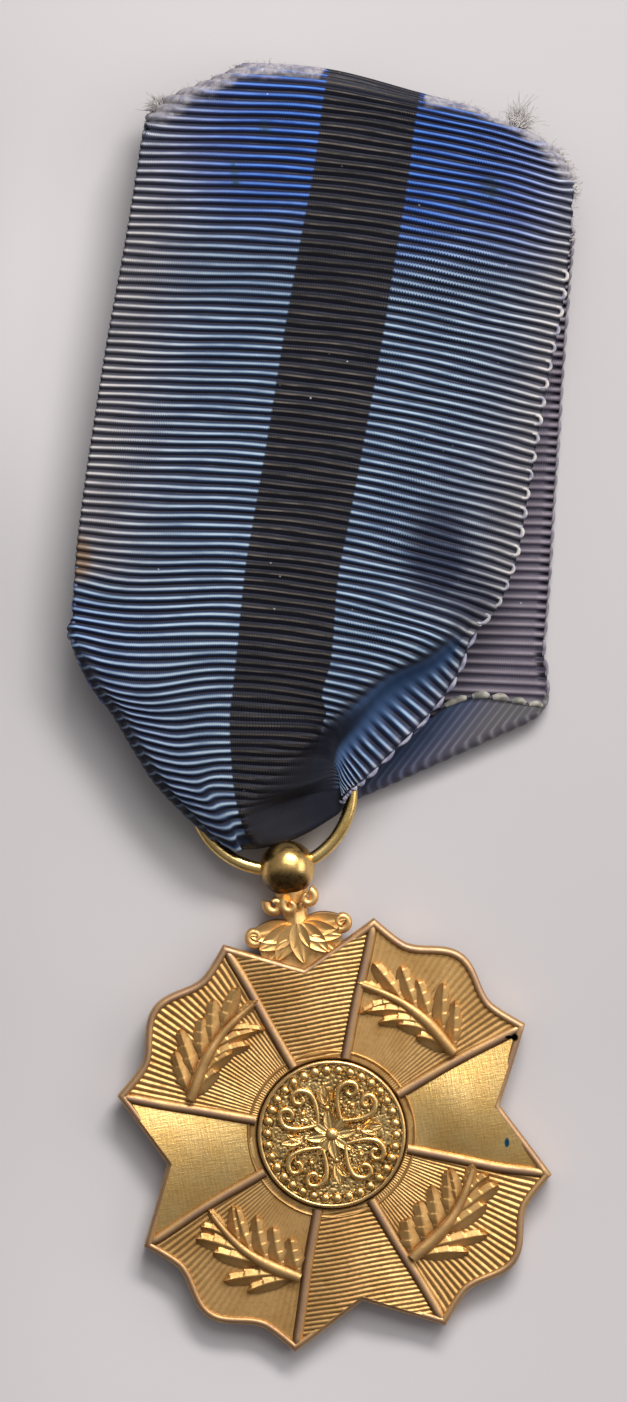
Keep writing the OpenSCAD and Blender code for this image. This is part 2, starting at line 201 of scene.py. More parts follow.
class Parts:
    """Grids in one mesh. Each point has a mark of patina and painted shade, 1 in grooves, and a mark of
    rubbing, 1 on an edge, which on the ridges also carries painted shade.
    """

    def __init__(self):
        self.points, self.faces, self.hollow, self.worn = [], [], [], []
        self.count = 0

    def add(self, points, faces, hollow=0.0, worn=0.0):
        for kept, values in ((self.hollow, hollow), (self.worn, worn)):
            kept.append(np.broadcast_to(np.asarray(values, float), points.shape[:-1]).ravel())
        self.points.append(points.reshape(-1, 3))
        self.faces += [[v + self.count for v in face] for face in np.asarray(faces).tolist()]
        self.count += len(self.points[-1])

    def grid(self, points, hollow=0.0, worn=0.0, wrap_rows=False, wrap_cols=False):
        rows, cols = points.shape[:2]
        self.add(points, grid_faces(rows, cols, wrap_rows, wrap_cols), hollow, worn)

    def lathe(self, profile, steps, centre=(0, 0, 0), hollow=0.0, worn=0.0):
        """A profile of (radius, height) turned about Z."""
        r, z = np.array(profile, float).T
        a = np.linspace(0, 2 * math.pi, steps, endpoint=False)[:, None]
        self.grid(polar(r, a, z) + centre, hollow, worn, wrap_rows=True)

    def tube(self, path, radius, sides, worn=0.0, flat=1.0):
        """A round bar with closed ends along a path, its radius one number or one for each point."""
        radius = np.broadcast_to(np.asarray(radius, float), len(path))
        ahead = np.gradient(path, axis=0)
        ahead /= np.linalg.norm(ahead, axis=1, keepdims=True)
        side = np.cross(ahead, [0.0, 0.0, 1.0])
        length = np.linalg.norm(side, axis=1, keepdims=True)
        side = np.where(length > 0.05, side / np.maximum(length, 1e-9), [1.0, 0.0, 0.0])
        over = np.cross(side, ahead)
        a = np.linspace(0, 2 * math.pi, sides, endpoint=False)[None, :, None]
        ring = (np.cos(a) * side[:, None, :] + flat * np.sin(a) * over[:, None, :]) * radius[:, None, None]
        ring += path[:, None, :]
        self.grid(ring, worn=worn, wrap_cols=True)
        for tip in (ring[0], ring[-1]):
            self.add(np.vstack([tip, tip.mean(0)]), [[i, (i + 1) % sides, sides] for i in range(sides)])

    def piece(self, name, material, slot, sharp=None, weld=0.0):
        marks = {"hollow": np.concatenate(self.hollow), "worn": np.concatenate(self.worn)}
        return make_piece(name, np.vstack(self.points), self.faces, material, slot, sharp, weld, **marks)

    def laid_piece(self, *details, **settings):
        """A piece of the cross, laid from the cross's own frame to its place."""
        self.points = [laid(p) for p in self.points]
        return self.piece(*details, **settings)


class Nodes:
    """Short ways to make and join the nodes of a tree."""

    def __init__(self, tree):
        self.tree = tree

    def node(self, kind, inputs=None, **settings):
        made = self.tree.nodes.new(kind)
        for key, value in settings.items():
            setattr(made, key, value)
        for key, value in (inputs or {}).items():
            self.feed(made.inputs[key], value)
        return made

    def feed(self, socket, value):
        """Links a socket, or sets its value. A colour of three numbers is opaque."""
        if isinstance(value, bpy.types.NodeSocket):
            self.tree.links.new(value, socket)
        elif isinstance(value, tuple) and len(value) < len(socket.default_value):
            socket.default_value = (*value, 1)
        else:
            socket.default_value = value

    def vector_math(self, operation, a, b):
        return self.node("ShaderNodeVectorMath", {0: a, 1: b}, operation=operation).outputs[0]

    def math(self, operation, a, b=0.0):
        return self.node("ShaderNodeMath", {0: a, 1: b}, operation=operation).outputs[0]

    def plus(self, a, b):
        return self.math("ADD", a, b)

    def less(self, a, b):
        return self.math("SUBTRACT", a, b)

    def times(self, a, b):
        return self.math("MULTIPLY", a, b)

    def most(self, a, b):
        return self.math("MAXIMUM", a, b)

    def step(self, value, low, high, to_low=0.0, to_high=1.0, kind="SMOOTHSTEP"):
        """Smooth step of a value from low to high."""
        ends = {"Value": value, "From Min": low, "From Max": high, "To Min": to_low, "To Max": to_high}
        return self.node("ShaderNodeMapRange", ends, interpolation_type=kind).outputs["Result"]

    def mix(self, factor, a, b):
        return self.node("ShaderNodeMix", {0: factor, 6: a, 7: b}, data_type="RGBA").outputs[2]


class Look(Nodes):
    """A material under construction, with the colour and the bumps that it has so far."""

    def __init__(self, name, **shader):
        self.material = bpy.data.materials.new(name)
        self.material.use_nodes = True
        super().__init__(self.material.node_tree)
        self.shader = self.tree.nodes["Principled BSDF"]
        for key, value in shader.items():
            self.shader.inputs[key.replace("_", " ")].default_value = value
        place = self.node("ShaderNodeTexCoord").outputs["Object"]
        self.mm = self.node("ShaderNodeVectorMath", {0: place, "Scale": 1000}, operation="SCALE").outputs[0]
        self.normal = None

    def mark(self, name):
        return self.node("ShaderNodeAttribute", attribute_name=name).outputs["Fac"]

    def noise(self, scale, detail=3.0, roughness=0.5, stretch=None, where=None):
        where = self.mm if where is None else where
        if stretch:
            where = self.vector_math("MULTIPLY", where, stretch)
        inputs = {"Vector": where, "Scale": scale, "Detail": detail, "Roughness": roughness}
        return self.node("ShaderNodeTexNoise", inputs).outputs["Fac"]

    def blot(self, x, y, across, tall, soft=0.5):
        """1 inside an oval patch at (x, y) with its two radii in millimetres, 0 outside it."""
        away = self.vector_math("SUBTRACT", self.mm, (x, y, 0))
        away = self.vector_math("MULTIPLY", away, (1 / across, 1 / tall, 0))
        length = self.node("ShaderNodeVectorMath", {0: away}, operation="LENGTH").outputs["Value"]
        return self.step(length, 1 + soft, 1 - soft)

    def paint(self, share, colour):
        """Lays a colour over the one so far."""
        self.colour = self.mix(share, self.colour, colour)

    def bump(self, height, strength, distance):
        """Adds a bump to the ones so far."""
        inputs = {"Height": height, "Strength": strength, "Distance": distance * MM}
        made = self.node("ShaderNodeBump", inputs)
        if self.normal is not None:
            self.feed(made.inputs["Normal"], self.normal)
        self.normal = made.outputs["Normal"]

    def finish(self, roughness):
        self.feed(self.shader.inputs["Base Color"], self.colour)
        self.feed(self.shader.inputs["Roughness"], roughness)
        if self.normal is not None:
            self.feed(self.shader.inputs["Normal"], self.normal)
        return self.material


def gilt_look(name, bright, deep, tarnish_and_shade, rosy, polish, grain, streak=0.0):
    """Gilt metal: darker and rougher where patina and painted shade lie, rosy where rubbed. Streak adds fine
    upright lines.
    """
    look = Look(name, Metallic=1.0)
    hollow, worn = look.mark("hollow"), look.mark("worn")
    cloud = look.noise(0.35, 4.0)
    fine = look.noise(2.6, 5.0, 0.65)
    look.colour = look.mix(look.step(cloud, 0.35, 0.68), bright, deep)
    look.paint(look.times(look.step(fine, 0.46, 0.7), 0.3), tarnish_and_shade)
    look.paint(look.times(worn, look.step(cloud, 0.2, 0.7, 0.35, 0.9)), rosy)
    look.paint(look.times(look.step(hollow, 0.2, 1.0), look.step(fine, 0.2, 0.75, 0.75, 1.0)), tarnish_and_shade)
    # Painted shade towards the lower left, laid in the patina colour
    look.paint(look.times(look.blot(-9, -46, 15, 12, 0.7), 0.17), tarnish_and_shade)
    rough = look.plus(look.step(fine, 0.3, 0.75, polish, polish + 0.14), look.times(hollow, 0.16))
    look.bump(look.noise(11.0, 4.0, 0.6), grain, 0.04)
    look.bump(look.noise(5.0, 2.0, stretch=(6.0, 0.7, 1.0)), grain * 0.5, 0.03)
    if streak:
        lean = {"Vector": look.mm, "Angle": math.radians(-LEAN)}
        upright = look.node("ShaderNodeVectorRotate", lean, rotation_type="Z_AXIS").outputs[0]
        hair = look.noise(1.0, 3.0, 0.6, (8.0, 0.8, 1.0), upright)
        weft = look.noise(1.0, 3.0, 0.6, (0.9, 7.0, 1.0), upright)
        linen = look.plus(look.step(hair, 0.42, 0.66, 0.0, 0.6), look.step(weft, 0.45, 0.7, 0.0, 0.5))
        look.paint(look.times(linen, streak), tarnish_and_shade)
        look.bump(look.plus(hair, weft), 0.5, 0.05)
    # Painted shade of a small sunken spot at the right arm's tip, and a blue fleck on that arm
    pit_shade = look.most(look.blot(15.72, -27.96, 0.34, 0.15, 0.3), look.blot(16.2, -27.98, 0.3, 0.32, 0.3))
    look.paint(pit_shade, (0.004, 0.003, 0.002))
    fleck = look.blot(15.54, -36.9, 0.2, 0.4, 0.2)
    look.paint(fleck, (0.01, 0.10, 0.16))
    return look.finish(look.most(rough, look.times(look.most(pit_shade, fleck), 0.8)))


# Small dark spots on the silk: (x, y, size)
SPOTS = ((-4.9, 48.9, 0.5), (-7.5, 45.4, 0.4), (-7.4, 44.2, 0.3), (11.7, 42.5, 0.45), (14.1, 43.8, 0.75))
# Where the warp threads show most: (x, y, radius across, radius up)
THREADS_SHOW = ((-9, -2, 13, 9), (0, 36.5, 22, 3.2), (10, 16, 7, 5))
# The black stripe's colours: its painted crest highlight, and its flank
STRIPE_BLACK = ((0.125, 0.10, 0.085), (0.005, 0.0045, 0.005))


def silk_look(name, zones, valley, weave):
    """Ribbed silk, with a painted highlight along each rib's crest and painted shade, in the valley colour, in
    the grooves between ribs. A zone is (mask, colour of the painted highlight on a rib's crest, flank's
    colour), and the first has no mask.
    """
    look = Look(name, Metallic=0.0, Specular_IOR_Level=0.14, Sheen_Weight=0.03, Sheen_Roughness=0.4)
    across = look.mark("across")
    plain = look.less(1.0, look.mark("even"))
    fine = look.noise(1.7, 5.0, 0.6)
    soft = look.noise(0.3, 4.0)

    # The black stripe has sharp edges
    half = (STRIPE[1] - STRIPE[0]) / 2
    from_stripe = look.math("ABSOLUTE", look.less(across, (STRIPE[0] + STRIPE[1]) / 2))
    black = look.step(from_stripe, half + 0.0025, half - 0.0025)
    _, highlight_colour, flank = zones[0]
    for mask, zone_highlight, zone_flank in (*zones[1:], (black, *STRIPE_BLACK)):
        share = look.mark(mask) if isinstance(mask, str) else mask
        highlight_colour = look.mix(share, highlight_colour, zone_highlight)
        flank = look.mix(share, flank, zone_flank)
    # Painted highlight: brighter crest lines in a patch at the lower left, away from the black stripe
    bright = look.times(look.blot(-12, -2, 11, 10, 0.5), look.less(0.5, look.times(black, 0.5)))
    highlight_colour = look.mix(bright, highlight_colour, (0.66, 0.78, 0.86))

    # The warp threads, and the place across a rib, from -0.5 to 0.5, which they shake
    threads = look.math("SINE", look.times(across, 2 * math.pi * STRIP_W / THREAD_PITCH))
    shown = look.times(look.step(look.noise(0.2), 0.42, 0.58), 0.6)
    for patch in THREADS_SHOW:
        shown = look.most(shown, look.blot(*patch, 0.4))
    warp = look.times(look.step(threads, -0.6, 0.9), shown)
    shake = look.times(look.times(threads, shown), 0.07)
    place = look.less(look.math("FRACT", look.plus(look.plus(look.mark("rib"), shake), 0.5)), 0.5)

    # Painted highlight along each crest, a little towards the upper, lit side, and painted shade in the
    # grooves, wider on the lower side
    line = look.step(look.math("ABSOLUTE", look.plus(place, 0.06)), 0.21, 0.03)
    line = look.times(line, look.step(look.noise(0.9, 4.0, stretch=(0.35, 1.6, 1)), 0.25, 0.6, 0.6, 1.0))
    line = look.times(line, look.less(1.0, look.times(warp, 0.4)))
    line = look.math("POWER", line, look.plus(look.times(black, 4.0), 1.3))
    groove_shade = look.most(look.step(place, 0.10, 0.33), look.step(place, -0.20, -0.40))
    groove_shade = look.times(groove_shade, look.less(plain, look.times(look.mark("bleach"), 0.4)))
    look.colour = look.mix(look.times(line, plain), flank, highlight_colour)
    look.paint(look.step(soft, 0.35, 0.65, 0.0, 0.2), flank)

    # Stains and spots
    stain = look.times(look.blot(12.2, 9.4, 2.6, 2.2, 0.6), 0.8)
    stain = look.most(look.blot(9.6, 12.6, 2.7, 4.3, 0.5), stain)
    look.paint(look.times(stain, 0.86), (0.003, 0.007, 0.03))
    for x, y, size in SPOTS:
        spot = look.times(look.blot(x, y, size, size * 1.3, 0.6), look.step(fine, 0.3, 0.55))
        look.paint(look.times(spot, 0.75), (0.012, 0.035, 0.03))
    look.paint(look.times(look.blot(-20.8, 12.6, 1.2, 1.9, 0.5), 0.75), (0.17, 0.09, 0.03))
    # Painted shade in the grooves
    look.paint(groove_shade, valley)

    # Worn places: the mark's edge is broken up by noise
    broken = look.times(look.noise(1.0, 4.0, stretch=(0.5, 1.4, 1)), 0.9)
    fray = look.step(look.plus(look.mark("fray"), look.less(broken, 0.45)), 0.3, 0.9)
    pale = look.mix(look.step(fine, 0.4, 0.62), (0.35, 0.325, 0.34), (0.19, 0.18, 0.22))
    look.paint(look.times(fray, 0.92), pale)
    # Painted shade in the creases, inside the fold and where the cloth turns under
    look.paint(look.mark("shade"), (0.0148, 0.0146, 0.0198))
    lint = look.node("ShaderNodeTexVoronoi", {"Vector": look.mm, "Scale": 0.5, "Randomness": 1.0})
    lint = look.times(look.step(lint.outputs["Distance"], 0.05, 0.03), look.step(soft, 0.5, 0.6))
    look.paint(look.times(lint, 0.7), (0.6, 0.6, 0.58))
    look.bump(warp, weave, 0.04)
    look.bump(look.noise(9.0, 4.0), 0.3, 0.03)
    return look.finish(look.step(fine, 0.3, 0.7, 0.36, 0.5))


def thread_look(name, one, other):
    """Twisted thread of two colours."""
    look = Look(name, Metallic=0.0, Sheen_Weight=0.2)
    look.colour = look.mix(look.step(look.noise(1.2, 4.0), 0.4, 0.6), one, other)
    look.bump(look.noise(7.0), 0.5, 0.05)
    return look.finish(0.5)


def paper_look():
    """The floor, with painted light and shade: paler below, darker to either side, and lighter beside the
    ribbon.
    """
    look = Look("paper", Metallic=0.0, Specular_IOR_Level=0.1)
    place = look.node("ShaderNodeSeparateXYZ", {0: look.mm}).outputs
    look.colour = look.mix(look.step(place["Y"], -58, -22), (0.585, 0.556, 0.568), (0.522, 0.497, 0.505))
    # Painted shade to the right and, wider, to the left
    for start, end, share in ((-8, 27, 0.15), (-17, -50, 0.34)):
        look.paint(look.step(place["X"], start, end, 0.0, share), (0.3, 0.28, 0.285))
    # Painted light beside the ribbon's left edge
    look.paint(look.times(look.blot(-22, 31, 7, 15, 0.6), 0.4), (0.70, 0.67, 0.68))
    look.paint(look.times(look.noise(2.0), 0.05), (0.5, 0.48, 0.49))
    return look.finish(0.9)


# Gilding: bright and deep colour, colour of patina and painted shade, rosy colour where rubbed, roughness,
# grain, and streaks on the satin arms
TARNISH_AND_SHADE = (0.15, 0.08, 0.032)
ROSY = (0.43, 0.275, 0.20)
gilt = gilt_look("gilt", (0.68, 0.42, 0.165), (0.57, 0.33, 0.115), TARNISH_AND_SHADE, ROSY, 0.46, 0.3)
leaf_gilt = gilt_look("leaf_gilt", (0.92, 0.58, 0.23), (0.79, 0.475, 0.175), TARNISH_AND_SHADE, ROSY, 0.40, 0.3)
satin_gilt = gilt_look("satin_gilt", (1.0, 0.67, 0.26), (0.96, 0.60, 0.20), TARNISH_AND_SHADE, ROSY, 0.33, 0.3, 0.2)
polished_gilt = gilt_look(
    "polished_gilt", (0.88, 0.58, 0.22), (0.72, 0.44, 0.14), (0.05, 0.028, 0.012), (0.66, 0.42, 0.2),
    0.16, 0.2
)
aged_gilt = gilt_look(
    "aged_gilt", (1.0, 0.67, 0.27), (0.84, 0.53, 0.19), (0.04, 0.02, 0.006), (0.8, 0.55, 0.28), 0.19, 0.4
)
ring_gilt = gilt_look(
    "ring_gilt", (0.88, 0.64, 0.26), (0.74, 0.50, 0.17), TARNISH_AND_SHADE, (0.6, 0.42, 0.2), 0.2, 0.2
)
# Silk: zones of (mask, painted crest highlight, flank), then the painted shade in the grooves, and the weave's
# bump
silk_front = silk_look(
    "silk_front",
    (
        (None, (0.36, 0.46, 0.55), (0.019, 0.048, 0.118)),
        ("deep", (0.065, 0.20, 0.60), (0.002, 0.016, 0.12)),
        ("navy", (0.27, 0.43, 0.66), (0.004, 0.016, 0.095)),
        ("bleach", (0.57, 0.52, 0.49), (0.10, 0.092, 0.105)),
        ("plain", (0.056, 0.11, 0.235), (0.047, 0.092, 0.196)),
    ),
    (0.0155, 0.016, 0.028), 0.5
)
silk_back = silk_look(
    "silk_back",
    (
        (None, (0.30, 0.265, 0.30), (0.135, 0.113, 0.145)),
        ("bleach", (0.26, 0.25, 0.23), (0.11, 0.105, 0.115)),
        ("navy", (0.075, 0.115, 0.20), (0.034, 0.056, 0.112)),
    ),
    (0.036, 0.03, 0.048), 0.3
)
pale_thread = thread_look("pale_thread", (0.54, 0.50, 0.48), (0.24, 0.24, 0.31))
mauve_thread = thread_look("mauve_thread", (0.22, 0.195, 0.225), (0.13, 0.115, 0.15))
grey_thread = thread_look("grey_thread", (0.31, 0.285, 0.24), (0.12, 0.12, 0.105))
navy_thread = thread_look("navy_thread", (0.02, 0.035, 0.14), (0.12, 0.14, 0.26))
lilac_thread = thread_look("lilac_thread", (0.34, 0.33, 0.41), (0.17, 0.17, 0.25))
fray_thread = thread_look("fray_thread", (0.52, 0.485, 0.465), (0.36, 0.335, 0.33))


# Camera, floor and light
CAMERA_AWAY = 800.0
OBJECT_MIDDLE = 3
SENSOR = 36
# Height of the photo's frame and its centre, on the object's own scale
PHOTO_HEIGHT = 118.7
PHOTO_CENTRE = (-0.847, 0.508)
# The floor lies this far below the object, and reaches this far each way in metres
FLOOR_DROP = 0.02
FLOOR_REACH = 1.5
LAMP_AWAY = 0.6
# Lamps: (name, azimuth, elevation, size, power, colour)
LAMPS = (
    ("key", 70, 40, (0.34, 0.11), 3.4, (1.0, 0.98, 0.96)),
    ("soft", 72, 58, (0.5, 0.3), 1.35, (1.0, 0.99, 0.97)),
    ("side", 10, 28, (0.45, 0.3), 0.85, (1.0, 0.98, 0.97)),
)


def add_object(name, data, location):
    """A new object of the scene at a place in metres."""
    made = bpy.data.objects.new(name, data)
    made.location = location
    bpy.context.scene.collection.objects.link(made)
    return made


def set_camera(scene):
    scene.view_settings.view_transform = "Standard"
    camera = bpy.data.cameras.new("camera")
    camera.type = "PERSP"
    camera.sensor_width = SENSOR
    camera.lens = SENSOR * CAMERA_AWAY / PHOTO_HEIGHT
    camera.clip_start = 0.01
    camera.clip_end = 10
    x, y = PHOTO_CENTRE
    scene.camera = add_object("camera", camera, (x * MM, y * MM, (CAMERA_AWAY + OBJECT_MIDDLE) * MM))


def set_floor():
    mesh = bpy.data.meshes.new("floor")
    corners = [(x * FLOOR_REACH, y * FLOOR_REACH, 0) for x, y in ((-1, -1), (1, -1), (1, 1), (-1, 1))]
    mesh.from_pydata(corners, [], [(0, 1, 2, 3)])
    mesh.materials.append(paper_look())
    add_object("floor", mesh, (0, 0, -FLOOR_DROP * MM))


def set_lamps():
    for name, azimuth, elevation, size, power, colour in LAMPS:
        lamp = bpy.data.lights.new(name, "AREA")
        lamp.shape = "RECTANGLE"
        lamp.size, lamp.size_y = size
        lamp.energy = power
        lamp.color = colour
        a, e = math.radians(azimuth), math.radians(elevation)
        holder = add_object(name, lamp, (*LAMP_AWAY * math.cos(e) * polar(1, a), LAMP_AWAY * math.sin(e)))
        holder.rotation_euler = (math.pi / 2 - e, 0, a + math.pi / 2)


def set_world(scene):
    """A soft sky, brightest above and behind the object's upper end."""
    world = bpy.data.worlds.new("world")
    scene.world = world
    world.use_nodes = True
    sky = Nodes(world.node_tree)
    ahead = sky.node("ShaderNodeTexCoord").outputs["Generated"]
    dot = sky.node("ShaderNodeVectorMath", {0: ahead, 1: (0.2, 0.55, 0.8)}, operation="DOT_PRODUCT")
    background = sky.tree.nodes["Background"]
    sky.feed(background.inputs["Color"], (0.98, 0.98, 1.0))
    sky.feed(background.inputs["Strength"], sky.step(dot.outputs["Value"], -0.6, 1.0, 0.02, 0.42, "LINEAR"))


# Cross
def quadrant_edge(q):
    """Radius of a quadrant's outer edge at q degrees from its middle line."""
    q = np.abs(q)
    near = (SWELL_R + DIP_R) / 2 + (SWELL_R - DIP_R) / 2 * np.cos(np.radians(180 * q / DIP_ANGLE))
    share = np.clip((q - DIP_ANGLE) / (QUADRANT_HALF - DIP_ANGLE), 0, 1)
    return np.where(q < DIP_ANGLE, near, DIP_R + (TIP_R - DIP_R) * share**1.5)


def cross_outline(edge_steps=70, notch_steps=10):
    """The cross from above, counterclockwise from the right arm's notch."""
    q = np.linspace(-QUADRANT_HALF, QUADRANT_HALF, edge_steps)
    edges = [polar(quadrant_edge(q), np.radians(arm + 45 + q)) for arm in range(0, 360, 90)]
    notches = [NOTCH_R * polar(1, math.radians(arm)) for arm in range(0, 360, 90)]
    share = np.linspace(0, 1, notch_steps, endpoint=False)[:, None]
    loop = []
    for edge, notch, after in zip(edges, notches, notches[1:] + notches[:1]):
        loop += [notch + (edge[0] - notch) * share, edge, edge[-1] + (after - edge[-1]) * share[1:]]
    return np.vstack(loop)


def inset(outline, by):
    """A counterclockwise outline moved inwards."""
    ahead = np.roll(outline, -1, 0) - outline
    ahead /= np.linalg.norm(ahead, axis=1, keepdims=True)
    normal = np.stack([ahead[:, 1], -ahead[:, 0]], -1)
    before = np.roll(normal, 1, 0)
    return outline - (normal + before) * by / (1 + (normal * before).sum(1, keepdims=True))


def crest(cycles, power=1.4):
    """Height from 0 to 1 of evenly spaced raised lines."""
    return (0.5 + 0.5 * np.cos(2 * math.pi * cycles)) ** power


def quadrant_faces(parts):
    """Rays on the quadrants. Those that run along the light hardly show."""
    q = np.linspace(-QUADRANT_HALF, QUADRANT_HALF, RAYS * 8 + 1)
    for arm in range(0, 360, 90):
        r = FIELD_R + (quadrant_edge(q) - 0.5 - FIELD_R) * np.linspace(0, 1, 30)[:, None]
        a = np.radians(arm + 45 + q)[None, :]
        wobble = 0.05 * np.sin(r * 1.3 + arm) * np.sin(q * 0.7 + r * 0.4)
        line = crest((q / (2 * QUADRANT_HALF) + 0.5) * RAYS + wobble, 0.75)
        bearing = np.degrees(a) + LEAN
        seen = smoothstep(np.abs((bearing - LIGHT_BEARING + 90) % 180 - 90), 8, 34)
        z = HALF_T + 0.0076 * r * line * (0.3 + 0.7 * seen)
        # Painted shade: darker grooves between rays that cross the light, and an even painted shade where the
        # rays run along it
        parts.grid(polar(r, a, z), hollow=(1 - line) ** 2 * (0.1 + 0.75 * seen) + 0.3 * (1 - seen))


def arm_faces(parts, satin):
    """Crowned faces of the arms: ruled lines on the upper and lower arm, satin on the side arms."""
    a = np.radians(np.linspace(-ARM_HALF, ARM_HALF, 27))
    steep = np.tan(np.abs(a))
    along = np.arange(6.0, 17.7, LINE_PITCH / 6)[:, None]
    tip_x, tip_y = TIP_R * polar(1, math.radians(ARM_HALF))
    outer = NOTCH_R + (tip_x - NOTCH_R) * (NOTCH_R * steep / (tip_y - (tip_x - NOTCH_R) * steep)) - 0.42
    x = np.clip(along, FIELD_R * np.cos(a), outer)
    y = x * np.tan(a)
    line = crest(x / LINE_PITCH + 0.1 * np.sin(y * 0.9), 0.6)
    crown = ARM_DOME * (1 - (a / a[-1]) ** 2)
    share = np.clip((x - FIELD_R) / 9.5, 0, 1)
    for arm in range(0, 360, 90):
        is_side = arm % 180 == 0
        # The right arm's crown is nearer the centre, so that most of it is turned to the light
        dome = crown * (smoothstep(share, -0.08, 0.55) * (1 - 0.25 * share) if arm == 0 else share**0.7)
        field = np.stack([x, y, HALF_T - 0.05 + (0.003 if is_side else 0.1) * line + dome], -1)
        target, depth = (satin, 0.04) if is_side else (parts, 1.0)
        target.grid(turned(field, arm), hollow=depth * (1 - line) ** 1.3)


# Rim, from the back over its top to its inner foot: (distance inside the outline, height, patina and painted
# shade, rubbing)
RIM_TOP = HALF_T + RIM_H
RIM_PROFILE = np.array([
    (0.12, -HALF_T, 0.5, 0), (0.0, -HALF_T + 0.12, 0.5, 0), (0.0, RIM_TOP - 0.32, 0.25, 0.2),
    (0.03, RIM_TOP - 0.17, 0.1, 0.4), (0.09, RIM_TOP - 0.08, 0, 0.8), (0.17, RIM_TOP - 0.02, 0, 0.9),
    (0.26, RIM_TOP, 0, 0.8), (0.36, RIM_TOP - 0.03, 0, 0.5), (0.43, RIM_TOP - 0.12, 0.3, 0.3),
    (0.46, RIM_TOP - 0.3, 0.8, 0.1), (0.52, HALF_T - 0.03, 1.0, 0), (0.58, HALF_T - 0.05, 0.5, 0),
])
# The rim is wider than its profile by this factor
RIM_SPREAD = 1.35
# Boss on the back: (radius, height)
BOSS_PROFILE = (
    (BOSS_R, -HALF_T), (BOSS_R, -HALF_T - BOSS_H + 0.15), (BOSS_R - 0.15, -HALF_T - BOSS_H),
    (0.01, -HALF_T - BOSS_H)
)
# Ring band round the medallion: (radius, height over the field, patina and painted shade)
BAND_PROFILE = np.array([
    (7.22, -0.05, 0.9), (7.16, 0.12, 0.1), (7.08, 0.16, 0), (7.0, 0.11, 0.2), (6.93, 0.03, 0.7),
    (6.8, 0.0, 0.5), (6.6, 0.02, 0.4), (6.42, 0.0, 0.7), (6.33, -0.12, 1), (6.3, -0.45, 1),
])


def plate_edges(parts):
    """Raised rim, side wall, back and boss."""
    outline = cross_outline()
    rings = [at_height(inset(outline, away * RIM_SPREAD), z) for away, z, _, _ in RIM_PROFILE]
    # Painted shadow at the rim's inner foot, strongest where the rim faces the light
    facing = outline - inset(outline, 0.1)
    facing = facing @ polar(1, np.radians(LIGHT_BEARING - LEAN)) / np.linalg.norm(facing, axis=1)
    inner = np.arange(len(RIM_PROFILE)) > 6
    foot = np.where(inner, 0.3 + 0.7 * smoothstep(facing, -0.3, 0.4)[:, None], 1.0)
    parts.grid(np.stack(rings, 1), hollow=RIM_PROFILE[:, 2] * foot, worn=RIM_PROFILE[:, 3], wrap_rows=True)

    back = inset(outline, 0.12)
    spin = np.arctan2(back[:, 1], back[:, 0])
    middle = BOSS_R * polar(1, spin)
    flat = [at_height(middle + (back - middle) * share, -HALF_T) for share in np.linspace(1, 0, 8)]
    parts.grid(np.stack(flat, 1), hollow=0.45, wrap_rows=True)
    parts.grid(np.stack([polar(r, spin, z) for r, z in BOSS_PROFILE], 1), hollow=0.35, wrap_rows=True)


def plate_ridges(parts):
    """Bars that part the arms from the quadrants, rubbed rosy along the top, with painted shade in patina and
    rosy colour on the side away from the light.
    """
    half = [(-0.5, -0.5), (-0.46, -0.3), (-0.37, -0.13), (-0.25, -0.03), (-0.1, 0.02)]
    across = np.array(half + [(0, 0.025)] + [(-x, z) for x, z in half[::-1]])
    # Painted shade across the bar: dark on the side away from the light and at its feet
    unlit_shade = (
        (-0.5, 1), (-0.42, 1), (-0.28, 0.75), (-0.1, 0.45), (0.05, 0.25), (0.2, 0.03), (0.37, 0.1),
        (0.46, 0.8), (0.5, 1)
    )
    # Rosy on top, spreading as painted shade onto the side away from the light
    rosy_and_unlit_shade = ((-0.4, 0.6), (-0.25, 1), (0.08, 1), (0.25, 0.3), (0.4, 0.1))
    along = np.linspace(BAND_R - 0.35, TIP_R - 0.3, 40)
    sink = 0.22 * smoothstep(along, TIP_R - 1.0, TIP_R - 0.3)
    narrow = 1 - 0.35 * smoothstep(along, TIP_R - 1.6, TIP_R - 0.3)
    x = along[:, None] + 0 * across[:, 0]
    y = across[:, 0] * narrow[:, None] * RIDGE_W
    z = HALF_T + RIM_H + across[:, 1] - sink[:, None]
    inward = 1 - smoothstep(x, 13.5, 18)
    for arm in range(0, 360, 90):
        for side, turn in zip((-1, 1), RIDGE_TURNS[arm // 90]):
            angle = arm + side * ARM_HALF
            lit = 1 if math.cos(math.radians(angle + 90 + LEAN - LIGHT_BEARING)) > 0 else -1
            points = turned(np.stack([x, y + inward * x * math.tan(math.radians(turn)), z], -1), angle)
            u = lit * across[:, 0]
            parts.grid(points, hollow=lookup(u, unlit_shade), worn=lookup(u, rosy_and_unlit_shade))


def skirted(s, t, x, half, z, hollow, thick, flare, sweep):
    """Points of a leaf, whose columns beyond 1 go down round it as a skirt, and its marks of patina and painted
    shade.
    """
    beyond = np.abs(t) > 1
    inner = np.clip(t, -1, 1)
    y = half * np.where(beyond, flare * inner, inner) + sweep * s**2
    return np.stack([x + 0 * t, y, np.where(beyond, -thick, z)], -1), np.where(beyond, 1.0, hollow + 0 * s)


